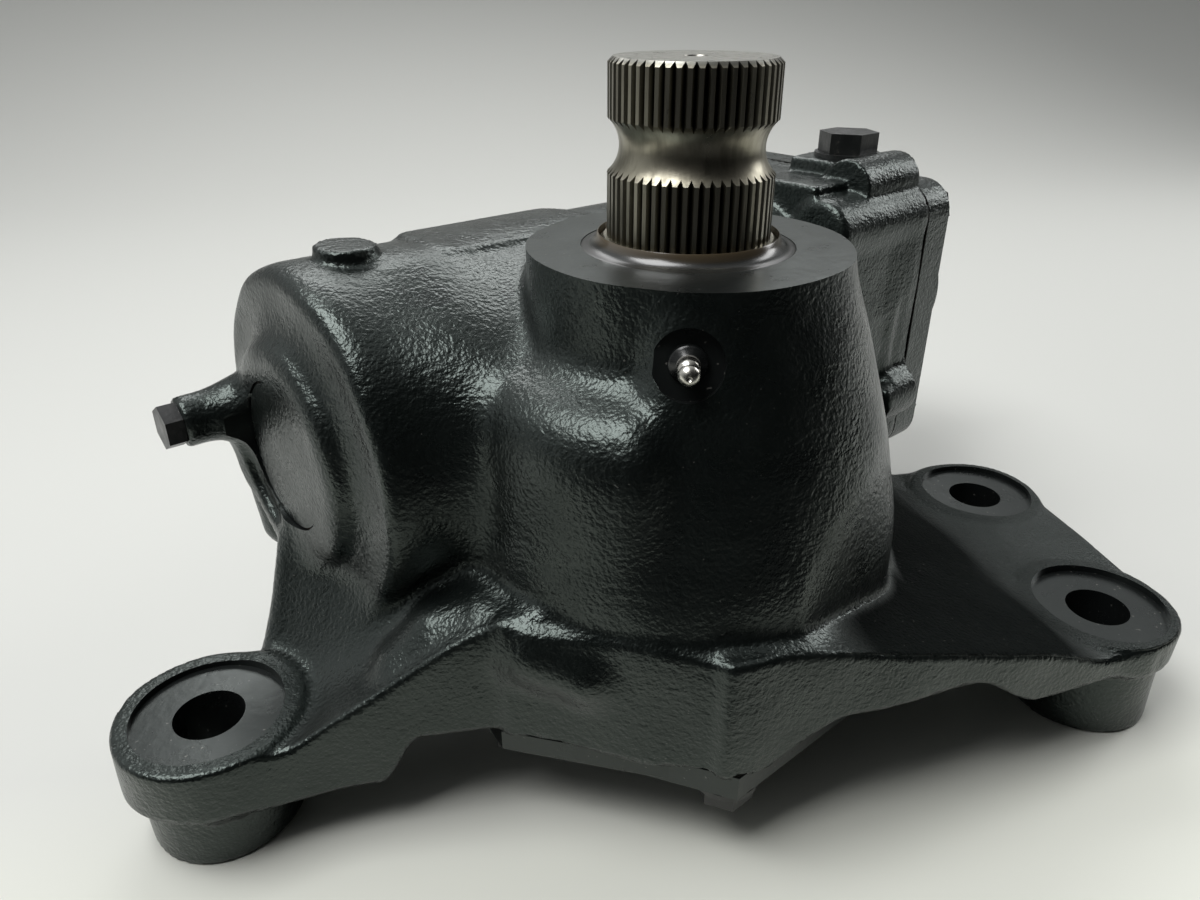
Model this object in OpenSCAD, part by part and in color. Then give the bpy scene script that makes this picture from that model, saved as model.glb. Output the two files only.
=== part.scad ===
// Integral hydraulic recirculating-ball steering gear, output shaft up, standing on its mounting feet.
// Gear frame: X along the piston cylinder towards the input end, Y from the output shaft to the cylinder,
// Z along the output shaft, heights counted from the mounting plane. placed() turns that frame so that the
// front feet lie along X and puts the origin on the output shaft at the trunnion face.

/* [Mounting] */
// Distance of the left mounting hole to the left of the output shaft
foot_left = 160; // [154:1:168]
// Distance of the right mounting holes to the right of the output shaft
foot_right = 156; // [150:1:166]
// Distance of the front holes in front of the output shaft
foot_front = 32; // [28:1:38]
// Distance between the two holes of the right foot
foot_pitch = 85; // [80:1:90]
// Distance of the back foot to the left of the output shaft
back_foot_left = 80; // [74:1:86]
// Distance of the back foot behind the output shaft
back_foot_behind = 146; // [144:1:156]
// Mounting hole diameter
foot_hole_d = 22; // [18:0.5:24]
// Spot-face diameter round a mounting hole
spot_face_d = 47; // [42:0.5:50]
// Depth of a spot-face in its ear
spot_face_depth = 1.5; // [0.5:0.1:3]
// Height of the spot-faces above the mounting plane
foot_h = 40; // [38:1:44]
// Diameter of an ear
ear_d = 58; // [55:1:62]
// Diameter of the ears of the right foot
right_ear_d = 52; // [51:1:58]
// Thickness of an ear
ear_t = 13; // [10:0.5:16]
// Diameter of the foot boss under an ear
foot_boss_d = 49; // [44:1:50]
// Angle from the line of the front feet to the cylinder axis
clock = 30; // [24:1:36]

/* [Output shaft] */
// Diameter over the serrations
serration_d = 50; // [46:0.5:52]
// Number of serrations
serration_n = 52; // [40:1:60]
// Depth of a serration
serration_depth = 1.6; // [1:0.1:2]
// Height of one band of serrations
band_h = 14.8; // [12:0.1:17]
// Height of the waist between the two bands
waist_h = 15.4; // [12:0.1:18]
// Diameter of the waist
waist_d = 43; // [40:0.5:45]
// Height of the lower band above the trunnion face
band_rise = 6.8; // [5:0.1:9]
// Chamfer at the end of the shaft
shaft_chamfer = 1.5; // [0.5:0.1:3]
// Diameter in the trunnion bearing
journal_d = 55; // [53:0.5:58]
// Diameter in the side-cover bearing
lower_journal_d = 46; // [42:0.5:48]

/* [Gear mesh] */
// Tooth module of rack and sector
gear_module = 6; // [5.8:0.1:6.2]
// Teeth on a full circle of the sector
gear_teeth = 16; // [16:1:16]
// Teeth cut on the sector
sector_teeth = 5; // [5:2:5]
// Pressure angle
pressure_angle = 25; // [24:0.5:26]
// Play between the flanks along the pitch line
backlash = 0.6; // [0.4:0.1:1]
// Width of the sector teeth
face_w = 58; // [50:1:62]
// Travel of the output shaft either side of centre
sector_travel = 45; // [40:1:45]
// Lead of the ball screw
worm_lead = 15; // [14:0.5:16]

/* [Casing] */
// Height of the trunnion face above the mounting plane
trunnion_h = 176; // [172:1:184]
// Diameter of the trunnion face
trunnion_d = 99; // [94:1:106]
// Height of the cylinder axis above the mounting plane
axis_h = 106; // [104:1:110]
// Distance from the cylinder axis to the rack pitch line
rack_line = 32; // [31:0.5:34]
// Bore of the cylinder
bore_d = 100; // [98:1:102]
// Wall of the cylinder
cylinder_wall = 12.5; // [10:0.5:14]
// Wall of the sector chamber
chamber_wall = 15.5; // [13:0.5:18]
// Height of the side-cover joint above the mounting plane
cover_joint_h = 36; // [34:1:40]
// Depth of the flange above the side-cover joint
flange_t = 41; // [34:1:44]
// Ledge of the flange round the sector chamber
flange_ledge = 10; // [9:0.5:12]
// Length of the tapered cylinder end
end_taper = 11; // [9:0.5:14]
// Radius of the closed end face
end_face_r = 41; // [39:0.5:43]
// Distance from the output shaft to the closed end face
closed_end = 108; // [106:1:114]
// Distance from the output shaft to the valve-housing joint
valve_joint = 166; // [164:1:174]
// Half the bolt square of the valve flange
valve_bolt_half = 50; // [49:0.5:54]
// Radius of the bolt bosses of the valve flange
valve_boss_r = 14; // [12:0.5:16]
// Depth of the valve flange
valve_flange_t = 54; // [50:1:58]
// How far the bolt bosses reach behind that flange
valve_boss_reach = 7; // [5:0.5:9]

/* [Covers and valve] */
// Side-cover plate thickness
cover_t = 9; // [8:0.5:10]
// Gasket thickness
gasket_t = 0.8; // [0.5:0.1:1.2]
// Side-cover bolts
cover_bolt_n = 6; // [6:1:8]
// Bolt thread diameter
bolt_d = 12; // [10:1:13]
// Bolt length under the head
bolt_grip = 24; // [22:1:26]
// End-cover diameter
end_cover_d = 60; // [58:1:61]
// Length of the stop boss
stop_boss_l = 21; // [18:1:26]
// Diameter of the stop boss
stop_boss_d = 18; // [16:0.5:20]
// Height of the stop boss above the cylinder axis
stop_rise = 6; // [4:1:10]
// Distance of the stop boss behind the cylinder axis
stop_behind = 35; // [34.5:0.5:37]
// Length of the valve housing
valve_l = 58; // [54:1:62]
// Radius of the valve-housing barrel
valve_r = 42; // [40:0.5:46]
// Radius of the valve sleeve
sleeve_r = 24; // [22:0.5:26]
// Diameter of the input serrations
input_d = 25; // [22:0.5:28]
// Length of the input shaft outside the valve housing
input_out = 42; // [36:1:46]

/* [Fits] */
// Running clearance on a radius
run_fit = 0.05; // [0.03:0.01:0.08]
// Free clearance between pieces that pass each other
free_gap = 0.5; // [0.4:0.1:0.8]

/* [Hidden] */
$fn = 96;
eps = 0.01;

// Gear mesh
pitch_r = gear_module * gear_teeth / 2;
pitch = PI * gear_module;
tip_r = pitch_r + gear_module;
root_r = pitch_r - 1.25 * gear_module;
base_r = pitch_r * cos(pressure_angle);
tooth_step = 360 / gear_teeth;
travel = pitch_r * sector_travel * PI / 180;
rack_tip_y = pitch_r - gear_module;
rack_root_y = pitch_r + 1.25 * gear_module;
axis_y = pitch_r + rack_line;
sector_hub_r = 30.5;

// Casing
cyl_r = bore_d / 2 + cylinder_wall;
chamber_r = tip_r + 4.5;
chamber_top = axis_h + face_w / 2 + 4;
drum_r = chamber_r + chamber_wall;
flange_r = drum_r + flange_ledge;
flange_top = cover_joint_h + flange_t;
ear_top = foot_h + spot_face_depth;
bore_end = closed_end - end_taper;
seal_r = journal_d / 2 + 5.5;
end_ring_t = 2;
end_ring_w = 4;
stop_screw_r = 4;
cover_bolt_r = (chamber_r + flange_r) / 2;
facing = 3;
pad_in = 32;
left_rim = 9;
neck_h = trunnion_h - 26;
cone_turn = -26;
flat_turn = -54;
flat_r = drum_r - 4.5;
flat_top = axis_h + 13;
flange_front = 51;
moat_depth = 6.5;
lip_h = 3;
gallery_r = 12.5;
gallery_l = 22;
gallery_in = -11;
gallery_down = 31;
worm_bearing_r = 36;
bar_seat_l = 60;
plug_depth = 12;
plug_flange_r = 14;
plug_hex = 22;
plug_hex_h = 9;
valve_plate_t = 16;
valve_hex = 18;
valve_head_h = 8;
cap_r = 30;
cap_top_r = 22;
cap_h = 9;

// Piston and ball screw, measured from the piston's middle
piston_r = bore_d / 2 - run_fit;
piston_left = bore_end - travel - 1.5;
piston_right = 82;
rack_half = (sector_teeth / 2) * pitch;
ball_r = 3.3;
ball_circle_r = 16;
worm_r = 14.5;
groove_r = 4;
nut_bore_r = worm_r + 0.7;
track_r = ball_circle_r + ball_r + 0.4;
circuit_x = 53.25;
worm_left = circuit_x - travel - 4;
worm_cavity_left = worm_left - travel - 4;
worm_thread_l = piston_right + travel - worm_left - 4;

// Valve end, measured along the cylinder axis from the output shaft
spigot_left = piston_right + travel + 6;
worm_bearing_l = 14;
worm_journal_r = 16;
worm_shoulder = spigot_left + worm_bearing_l;
sleeve_left = worm_shoulder + 6;
sleeve_l = valve_joint + 28 - sleeve_left;
valve_end = valve_joint + gasket_t + valve_l;
stub_r = 16.4;
bar_r = 4;

// Side cover stack, heights above the mounting plane
cover_top = cover_joint_h - gasket_t;
cover_bottom = cover_top - cover_t;
cover_boss_r = lower_journal_d / 2 + 10;
cover_boss_top = axis_h - face_w / 2 - 5;
shaft_bottom = cover_top + 7;
adjuster_r = 6;
adjuster_head_r = 8;
adjuster_boss_h = 12;
lock_nut_h = 9;

foot_places = [
    [-foot_left, -foot_front],
    [foot_right, -foot_front],
    [foot_right, foot_pitch - foot_front],
    [-back_foot_left, back_foot_behind]
];

// Puts a piece from the gear frame into the part's frame
module placed() translate([0, 0, -trunnion_h]) rotate([0, 0, clock]) children();

// Runs children laid out on the feet, whose frame is turned back by the clock angle
module on_feet() rotate([0, 0, -clock]) children();

// Lays a piece along the cylinder axis, its own Z pointing to the input end
module on_axis(x) translate([x, axis_y, axis_h]) rotate([0, 90, 0]) children();

module ring(outer_r, inner_r, h) {
    difference() {
        cylinder(r = outer_r, h = h);
        translate([0, 0, -eps]) cylinder(r = inner_r, h = h + 2 * eps);
    }
}

module hex(across_flats, h) cylinder(r = across_flats / 2 / cos(30), h = h, $fn = 6);

// Round bar with an eased edge at each end
module eased_bar(r, h, ease) {
    rotate_extrude() polygon([
        [0, 0], [r - ease, 0], [r, ease], [r, h - ease], [r - ease, h], [0, h]
    ]);
}

// Polygonal flange with a corner at each side-cover bolt
module bolt_polygon(r, h) on_feet() rotate([0, 0, -90]) cylinder(r = r, h = h, $fn = cover_bolt_n);

module cover_bolt_places() {
    on_feet() for (i = [0 : cover_bolt_n - 1])
        rotate([0, 0, -90 + i * 360 / cover_bolt_n]) translate([cover_bolt_r, 0, 0]) children();
}

module valve_bolt_places(x) {
    on_axis(x) for (a = [45 : 90 : 315])
        rotate([0, 0, a]) translate([valve_bolt_half * sqrt(2), 0, 0]) children();
}

// Rounded square of the valve flange, its corners concentric with the bolts
module valve_square(t) {
    linear_extrude(height = t) polygon([
        for (quarter = [0 : 3], step = [0 : 8])
            let (corner = 45 + 90 * quarter, turn = 90 * quarter + step * 90 / 8)
            valve_bolt_half * sqrt(2) * [cos(corner), sin(corner)] + valve_boss_r * [cos(turn), sin(turn)]
    ]);
}

// Cylinder with its tapered closed end and the square flange for the valve housing
module barrel() {
    length = closed_end + valve_joint - valve_flange_t / 2;
    rim = cyl_r - end_face_r;
    on_axis(-closed_end) rotate_extrude() polygon([
        [0, 0], [end_face_r, 0], [end_face_r + 0.07 * rim, 0.35 * moat_depth],
        [end_face_r + 0.17 * rim, 0.8 * moat_depth],
        [end_face_r + 0.33 * rim, moat_depth], [end_face_r + 0.49 * rim, 0.83 * moat_depth],
        [end_face_r + 0.59 * rim, 0.55 * moat_depth], [cyl_r - 0.28 * rim, 0.38 * end_taper],
        [cyl_r - 0.12 * rim, 0.73 * end_taper], [cyl_r, 1.4 * end_taper], [cyl_r, length], [0, length]
    ]);
    on_axis(valve_joint - valve_flange_t) valve_square(valve_flange_t);
    valve_bolt_places(valve_joint - valve_flange_t - valve_boss_reach)
        cylinder(r = valve_boss_r - 0.6, h = valve_flange_t);
    translate([0, gallery_in - valve_bolt_half, -gallery_down]) on_axis(valve_joint - gallery_l)
        cylinder(r = gallery_r, h = gallery_l);
}

// Half of the drum's turning space: 1 is the cone's side, -1 the shoulder's side
module drum_side(side) on_feet() rotate([0, 0, cone_turn])
    translate([side > 0 ? -1 : 1 - 2 * drum_r, -1.5 * drum_r, 0])
        cube([2 * drum_r, 3 * drum_r, 2 * trunnion_h]);

// Sector chamber and trunnion: a neck over a shoulder on the left, filled out to a cone on the right
module drum() {
    shoulder_h = axis_h + 14;
    rough_h = cover_joint_h - facing;
    top_r = trunnion_d / 2;
    difference() {
        union() {
            intersection() {
                rotate_extrude() polygon([
                    [0, rough_h], [drum_r, rough_h], [drum_r, axis_h - 5], [drum_r - 1.2, axis_h],
                    [top_r, trunnion_h - 1], [top_r - 1, trunnion_h], [0, trunnion_h]
                ]);
                drum_side(1);
            }
            intersection() {
                rotate_extrude() polygon([
                    [0, rough_h], [drum_r - 0.6, rough_h], [drum_r - 0.6, shoulder_h + 2],
                    [drum_r - 4, neck_h - 14], [drum_r - 9, neck_h - 7], [drum_r - 16, neck_h - 3],
                    [top_r + 3, neck_h + 1], [top_r + 0.4, neck_h + 7],
                    [top_r + 0.4, trunnion_h - 1], [top_r - 0.6, trunnion_h], [0, trunnion_h]
                ]);
                drum_side(-1);
            }
        }
        on_feet() rotate([0, 0, flat_turn]) translate([flat_r, -drum_r, flange_top - 1])
            cube([drum_r, 2 * drum_r, flat_top - flange_top + 1]);
    }
    translate([0, 0, rough_h]) bolt_polygon(flange_r, flange_t + facing);
    on_feet() translate([0, 0, cover_joint_h + 0.4]) linear_extrude(height = flange_t - 1) polygon([
        [0, 1 - flange_r], [-flange_r * 0.83, -flange_front], [-flange_r * 0.6, 0], [0, -flange_r / 2]
    ]);
}

module foot(place) {
    translate(place) cylinder(d = foot_boss_d, h = foot_h);
    translate([place.x, place.y, ear_top - ear_t]) cylinder(d = place.x > 0 ? right_ear_d : ear_d, h = ear_t);
}

// Slab of an arm inside the drum, where the arm grows out of the flange
module arm_root(place, r, bottom, top)
    translate([place.x, place.y, bottom]) cylinder(r = r, h = top - bottom, $fn = 32);

// Round start of an arm's slope, kept off the ear so that the spot-face stays open
module slope_start(place, r) {
    translate([place.x, place.y, ear_top - ear_t + 0.6]) cylinder(r = r, h = ear_t - 1.2, $fn = 32);
}

// Flat slab that carries the left ear, stepping up where the arm begins to climb
module left_slab() {
    ear = foot_places[0];
    r = ear_d / 2 - 0.5;
    step_x = -1.17 * flange_r;
    translate([0, 0, ear_top - ear_t - left_rim]) linear_extrude(height = ear_t + left_rim - 0.4) polygon([
        [ear.x, ear.y - r], [ear.x + ear_d * 0.67, ear.y - r + 9.4], [step_x, 0.6 - flange_front],
        [step_x, ear.y + r], [ear.x, ear.y + r]
    ]);
}

// Pad that joins the two ears of the right foot
module right_pad() {
    front = foot_places[1];
    r = right_ear_d / 2 - 0.4;
    translate([0, 0, ear_top - ear_t]) linear_extrude(height = ear_t) polygon([
        [front.x - pad_in, front.y - r], [front.x, front.y - r], [front.x + r - 0.6, front.y],
        [front.x + r - 0.6, front.y + foot_pitch], [front.x, front.y + foot_pitch + r],
        [front.x - pad_in / 2, front.y + foot_pitch + r - 2], [front.x - pad_in, front.y + foot_pitch + r / 2]
    ]);
}

// Upright post of a web, from its underside to its top
module web_post(place, r, bottom, top)
    translate([place.x, place.y, bottom]) cylinder(r = r, h = top - bottom, $fn = 24);

// Sloping web of the right foot, its ridge running diagonally over to the drum, arched underneath
module right_web() {
    low = ear_top - ear_t + 0.6;
    difference() {
        hull() {
            web_post([0.13 * flange_r, 10 - 0.95 * flange_r], 10, low, flange_top - 0.7);
            web_post([foot_right - 66, -12], 4, low, ear_top + 13.5);
            web_post([foot_right - 38, 5 - foot_front - right_ear_d / 2], 6, low, ear_top + 6);
            web_post([foot_right - 27, -foot_front], 5, low, ear_top - 0.5);
            web_post([foot_right - 26, foot_pitch - foot_front + 8], 5, low, ear_top - 0.5);
            web_post([0.3 * flange_r, 0.55 * flange_r], 20, low, flange_top - 9);
        }
        translate([0, 2 * flange_r, 0]) rotate([90, 0, 0]) linear_extrude(height = 4 * flange_r) polygon([
            [0.04 * flange_r, low - 1], [0.06 * flange_r, cover_joint_h - 2],
            [0.45 * flange_r, cover_joint_h + 11], [foot_right - 78, cover_joint_h + 10],
            [foot_right - 46, cover_joint_h - 3.5], [foot_right - 44, low - 1]
        ]);
    }
}

// Arms that carry the feet, sloping down from the flange to the ears
module arms() {
    left = foot_places[0];
    left_slab();
    hull() {
        slope_start([left.x + ear_d / 2 + 13, left.y - 4], 15);
        slope_start([left.x + ear_d / 2 + 13, left.y + 24], 15);
        arm_root([-0.83 * flange_r, 17.4 - flange_front], 17, cover_joint_h - facing, flange_top - 2);
        arm_root([-0.68 * flange_r, -6], 20, cover_joint_h - facing, flange_top - 3);
    }
    right_pad();
    right_web();
    hull() {
        slope_start(foot_places[3], right_ear_d / 2 - 5);
        rotate([0, 0, clock + 4]) translate([0, axis_y - 3, cover_joint_h + 4]) cylinder(r = 25, h = 34, $fn = 32);
    }
}

// Web from the left foot up to the closed end of the cylinder
module end_rib() {
    foot = foot_places[0];
    on_feet() hull() {
        translate([foot.x + 20, foot.y + 26, foot_h - 3]) sphere(r = 11, $fn = 24);
        translate([foot.x + 37, foot.y + 16, foot_h - 4]) sphere(r = 12, $fn = 24);
        translate([foot.x + 32, foot.y + 50, foot_h + 26]) sphere(r = 12, $fn = 24);
        translate([foot.x + 56, foot.y + 42, foot_h + 30]) sphere(r = 15, $fn = 24);
    }
}

// Cast lobe that fills the valley between the sector chamber and the cylinder, and the ridge above it
module saddle() {
    hull() {
        translate([-0.59 * drum_r, 0.45 * axis_y, axis_h - 44]) sphere(r = 30, $fn = 32);
        translate([-0.65 * drum_r, 0.55 * axis_y, axis_h + 8]) sphere(r = 32, $fn = 32);
    }
    hull() {
        translate([-0.76 * drum_r, 0.82 * axis_y, axis_h + 46]) sphere(r = 11, $fn = 24);
        translate([-0.81 * drum_r, 0.42 * axis_y, axis_h + 20]) sphere(r = 14, $fn = 24);
    }
}

// Raised lip and lug at the far rim of the closed end
module end_lip() {
    intersection() {
        on_axis(-closed_end - lip_h) ring(end_face_r - 2.4, end_cover_d / 2 + 1.6, lip_h + 2);
        translate([-2 * closed_end, axis_y + 8, 0]) cube([2 * closed_end, cyl_r, 2 * axis_h]);
    }
    hull() {
        translate([-closed_end + 7, axis_y + 36, axis_h - 8]) sphere(r = 10, $fn = 24);
        translate([-closed_end + 9, axis_y + 34, axis_h - 44]) sphere(r = 9, $fn = 24);
    }
}

fitting_turn = -clock - 104;
fitting_h = trunnion_h - 19;
fitting_tilt = 15;
spot_recess_r = 9;

// Grease-fitting axis, its Z pointing out of the trunnion wall
module fitting_axis() {
    wall_r = trunnion_d / 2 + (trunnion_h - fitting_h) * 0.4;
    rotate([0, 0, fitting_turn]) translate([wall_r - 3.5, 0, fitting_h])
        rotate([0, 90 - fitting_tilt, 0]) children();
}

plug_pad = 36;
plug_r = 9;
plug_pad_top = axis_h + valve_bolt_half + valve_boss_r + 10;

// Pad for the port plug on top of the valve flange
module plug_place() translate([valve_joint - plug_pad / 2 + 2, axis_y - 29, plug_pad_top]) children();

// Axis of the stop screw, at the far rim of the closed end
module stop_axis(x) translate([0, stop_behind, stop_rise]) on_axis(x) children();

stop_boss_end = closed_end + stop_boss_l;

module gear_housing() {
    cast = foot_places;
    color("#26282a") placed() difference() {
        union() {
            barrel();
            drum();
            end_rib();
            saddle();
            end_lip();
            on_feet() arms();
            on_feet() for (place = cast) foot(place);
            plug_place() translate([-plug_pad / 2, -plug_pad / 2, -30]) cube([plug_pad - 2, plug_pad, 30]);
            plug_place() translate([-plug_pad / 2 - 4, -plug_pad / 2, 1 - valve_boss_r]) rotate([0, 90, 0])
                cylinder(r = valve_boss_r - 2, h = plug_pad + 2);
            translate([-0.7 * closed_end, axis_y, axis_h]) cylinder(r = 11, h = cyl_r + 3);
            stop_axis(-stop_boss_end) eased_bar(stop_boss_d / 2, stop_boss_l + end_taper, 1.2);
        }
        on_axis(-bore_end) cylinder(d = bore_d, h = bore_end + valve_joint + 1);
        on_axis(-closed_end - 8) cylinder(d = end_cover_d - 6, h = end_taper + 9);
        on_axis(-closed_end + 1.5) cylinder(d = end_cover_d, h = end_taper);
        stop_axis(-stop_boss_end - 1) cylinder(r = stop_screw_r, h = stop_boss_end);
        translate([0, 0, -1]) bolt_polygon(flange_r + 1.5, cover_joint_h + 1);
        translate([0, 0, cover_joint_h - 1]) cylinder(r = chamber_r, h = chamber_top - cover_joint_h + 1);
        translate([0, 0, chamber_top - 1]) cylinder(r = seal_r, h = trunnion_h - chamber_top + 2);
        on_feet() for (place = cast) {
            translate([place.x, place.y, -1]) cylinder(d = foot_hole_d, h = foot_h + 4);
            translate([place.x, place.y, foot_h]) cylinder(d = spot_face_d, h = flange_top - foot_h);
        }
        cover_bolt_places() translate([0, 0, cover_joint_h - 1]) cylinder(d = bolt_d, h = bolt_grip - cover_t);
        valve_bolt_places(valve_joint - 30) cylinder(d = bolt_d, h = 31);
        fitting_axis() cylinder(r = spot_recess_r, h = 12);
        fitting_axis() translate([0, 0, -10]) cylinder(r = 3.2, h = 11);
        plug_place() translate([0, 0, -plug_depth - 1]) cylinder(r = plug_r, h = plug_depth + 2);
    }
}

module end_cover() {
    seat = 1.5 + end_ring_t;
    color("#2d2f31") placed() {
        on_axis(-closed_end + seat) cylinder(d = end_cover_d, h = end_taper - seat);
        on_axis(-closed_end + 0.5) cylinder(d = end_cover_d - 2 * end_ring_w - 0.8, h = seat);
    }
}

module end_retaining_ring() {
    color("#5b4433") placed() on_axis(-closed_end + 1.5)
        ring(end_cover_d / 2, end_cover_d / 2 - end_ring_w, end_ring_t);
}

module stop_screw() {
    head_h = 6;
    color("#1d1e1f") placed() {
        stop_axis(-stop_boss_end - head_h) hex(14, head_h);
        stop_axis(-stop_boss_end - eps) cylinder(r = stop_screw_r, h = stop_boss_end - bore_end + 0.8);
    }
}

module side_cover() {
    color("#2b2d2f") placed() difference() {
        union() {
            translate([0, 0, cover_bottom]) bolt_polygon(flange_r - 0.8, cover_t);
            translate([0, 0, cover_top - 1]) cylinder(r = cover_boss_r, h = cover_boss_top - cover_top + 1);
            translate([0, 0, cover_bottom - adjuster_boss_h])
                cylinder(r1 = 15, r2 = 24, h = adjuster_boss_h + 1);
        }
        translate([0, 0, shaft_bottom - 1]) cylinder(r = cover_boss_r - 4.5, h = cover_boss_top);
        translate([0, 0, -1]) cylinder(r = adjuster_r, h = cover_top);
        translate([0, 0, cover_top - 1]) cylinder(r = adjuster_head_r + 1, h = 10);
        cover_bolt_places() translate([0, 0, cover_bottom - 1]) cylinder(d = bolt_d, h = cover_t + 2);
    }
}

module side_cover_gasket() {
    color("#6b6458") placed() translate([0, 0, cover_top]) difference() {
        bolt_polygon(flange_r - 1.2, gasket_t);
        translate([0, 0, -1]) cylinder(r = chamber_r, h = gasket_t + 2);
        cover_bolt_places() translate([0, 0, -1]) cylinder(d = bolt_d, h = gasket_t + 2);
    }
}

module side_cover_bolts() {
    head_h = 8;
    color("#333537") placed() cover_bolt_places() {
        translate([0, 0, cover_bottom - head_h]) hex(16, head_h - 2);
        translate([0, 0, cover_bottom - 2]) cylinder(d = bolt_d + 9, h = 2);
        translate([0, 0, cover_bottom - eps]) cylinder(d = bolt_d, h = bolt_grip - 1);
    }
}

module adjuster_screw() {
    color("#8a8c8e") placed() {
        translate([0, 0, cover_bottom - adjuster_boss_h - lock_nut_h - 1.5])
            cylinder(r = adjuster_r, h = cover_top + 2 - cover_bottom + adjuster_boss_h + lock_nut_h + 1.5);
        translate([0, 0, cover_top + 1]) cylinder(r = adjuster_head_r, h = shaft_bottom + 6 - cover_top - 1);
    }
}

module adjuster_lock_nut() {
    color("#7c7e80") placed() translate([0, 0, cover_bottom - adjuster_boss_h - lock_nut_h]) difference() {
        hex(19, lock_nut_h);
        translate([0, 0, -1]) cylinder(r = adjuster_r, h = lock_nut_h + 2);
    }
}

module cover_bearing() {
    color("#9a9c9e") placed() translate([0, 0, shaft_bottom - 1])
        ring(cover_boss_r - 4.5, lower_journal_d / 2 + run_fit, cover_boss_top - shaft_bottom + 1);
}

module trunnion_bearing() {
    color("#9a9c9e") placed() translate([0, 0, chamber_top + 1])
        ring(seal_r, journal_d / 2 + run_fit, trunnion_h - 13 - chamber_top - 1);
}

module output_seal() {
    color("#1b1b1c") placed() translate([0, 0, trunnion_h - 13]) ring(seal_r, journal_d / 2 + run_fit, 8);
}

// Dust seal: a flat ring flush with the trunnion face and a rounded lip at the shaft
module dust_seal() {
    inner = journal_d / 2 + run_fit;
    lip = 0.55 * (seal_r - inner);
    color("#141415") placed() translate([0, 0, trunnion_h - 5]) rotate_extrude() polygon([
        [inner, 0], [seal_r, 0], [seal_r, 4.6], [inner + lip + 1, 4.6], [inner + lip, 5.2],
        for (a = [0 : 15 : 180]) [inner + lip / 2 + lip / 2 * cos(a), 6.4 + 0.9 * lip * sin(a)]
    ]);
}

module grease_fitting() {
    color("#b9b7ae") placed() fitting_axis() {
        translate([0, 0, -8]) cylinder(r = 3.2, h = 8.5);
        hex(9, 4);
        translate([0, 0, 3.5]) cylinder(r = 2.6, h = 3);
        translate([0, 0, 8]) sphere(r = 3.2);
    }
}

module port_plug() {
    color("#2c2e30") placed() plug_place() {
        translate([0, 0, -plug_depth]) cylinder(r = plug_r, h = plug_depth + 0.5);
        cylinder(r = plug_flange_r, h = 2);
        translate([0, 0, 1.5]) hex(plug_hex, plug_hex_h);
    }
}

port_r = 8;
port_out = 12;

// Runs children at the ports of the valve housing: pressure on top, return at the back
module port_places() {
    for (a = [180, 90])
        on_axis(valve_joint + gasket_t + valve_l / 2 + 6) rotate([0, 0, a]) rotate([0, 90, 0]) children();
}

module valve_housing() {
    joint = valve_joint + gasket_t;
    bore = valve_end - joint;
    color("#28292b") placed() difference() {
        union() {
            on_axis(spigot_left) cylinder(d = bore_d, h = joint - spigot_left + 1);
            on_axis(joint) valve_square(valve_plate_t);
            on_axis(joint) cylinder(r = valve_r, h = valve_l);
            port_places() cylinder(r = port_r + 7, h = valve_r + port_out);
            on_axis(joint + valve_l / 2 + 6) rotate([0, 90, 0]) cylinder(r = 15, h = valve_r + 4);
        }
        on_axis(spigot_left - 1) cylinder(r = worm_bearing_r, h = worm_bearing_l + 1);
        on_axis(spigot_left) cylinder(r = sleeve_r + run_fit, h = valve_end - spigot_left + 1);
        valve_bolt_places(joint - 1) cylinder(d = bolt_d, h = valve_plate_t + 2);
        port_places() translate([0, 0, valve_r + port_out - 16]) cylinder(r = port_r, h = 17);
        port_places() cylinder(r = 4.5, h = valve_r + port_out);
        on_axis(joint + valve_l / 2 + 6) rotate([0, 90, 0])
            translate([0, 0, valve_r - 10]) cylinder(r = 9, h = 15);
    }
}

module valve_housing_gasket() {
    color("#6b6458") placed() difference() {
        on_axis(valve_joint) valve_square(gasket_t);
        on_axis(valve_joint - 1) cylinder(d = bore_d, h = gasket_t + 2);
        valve_bolt_places(valve_joint - 1) cylinder(d = bolt_d, h = gasket_t + 2);
    }
}

module valve_housing_bolts() {
    seat = valve_joint + gasket_t + valve_plate_t;
    color("#333537") placed() {
        valve_bolt_places(valve_joint - 28) cylinder(d = bolt_d, h = seat - valve_joint + 28 + eps);
        valve_bolt_places(seat) hex(valve_hex, valve_head_h);
    }
}

module relief_plug() {
    color("#2c2e30") placed() on_axis(valve_joint + gasket_t + valve_l / 2 + 6) rotate([0, 90, 0]) {
        translate([0, 0, valve_r - 9]) cylinder(r = 9, h = 13.5);
        translate([0, 0, valve_r + 4]) hex(24, 8);
    }
}

module worm_bearing() {
    color("#9a9c9e") placed() on_axis(spigot_left)
        ring(worm_bearing_r, worm_journal_r + run_fit, worm_bearing_l);
}

module input_bearing() {
    color("#9a9c9e") placed() on_axis(valve_end - 26) ring(sleeve_r + run_fit, stub_r + run_fit, 12);
}

module input_seal() {
    color("#1b1b1c") placed() on_axis(valve_end - 13) ring(sleeve_r + run_fit, stub_r + run_fit, 9);
}

module input_dust_cap() {
    color("#1b1b1c") placed() on_axis(valve_end) difference() {
        cylinder(r1 = cap_r, r2 = cap_top_r, h = cap_h);
        translate([0, 0, -1]) cylinder(r = input_d / 2 + 1.5 + run_fit, h = cap_h + 2);
        translate([0, 0, -1]) cylinder(r = stub_r + free_gap, h = 4);
    }
}

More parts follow.
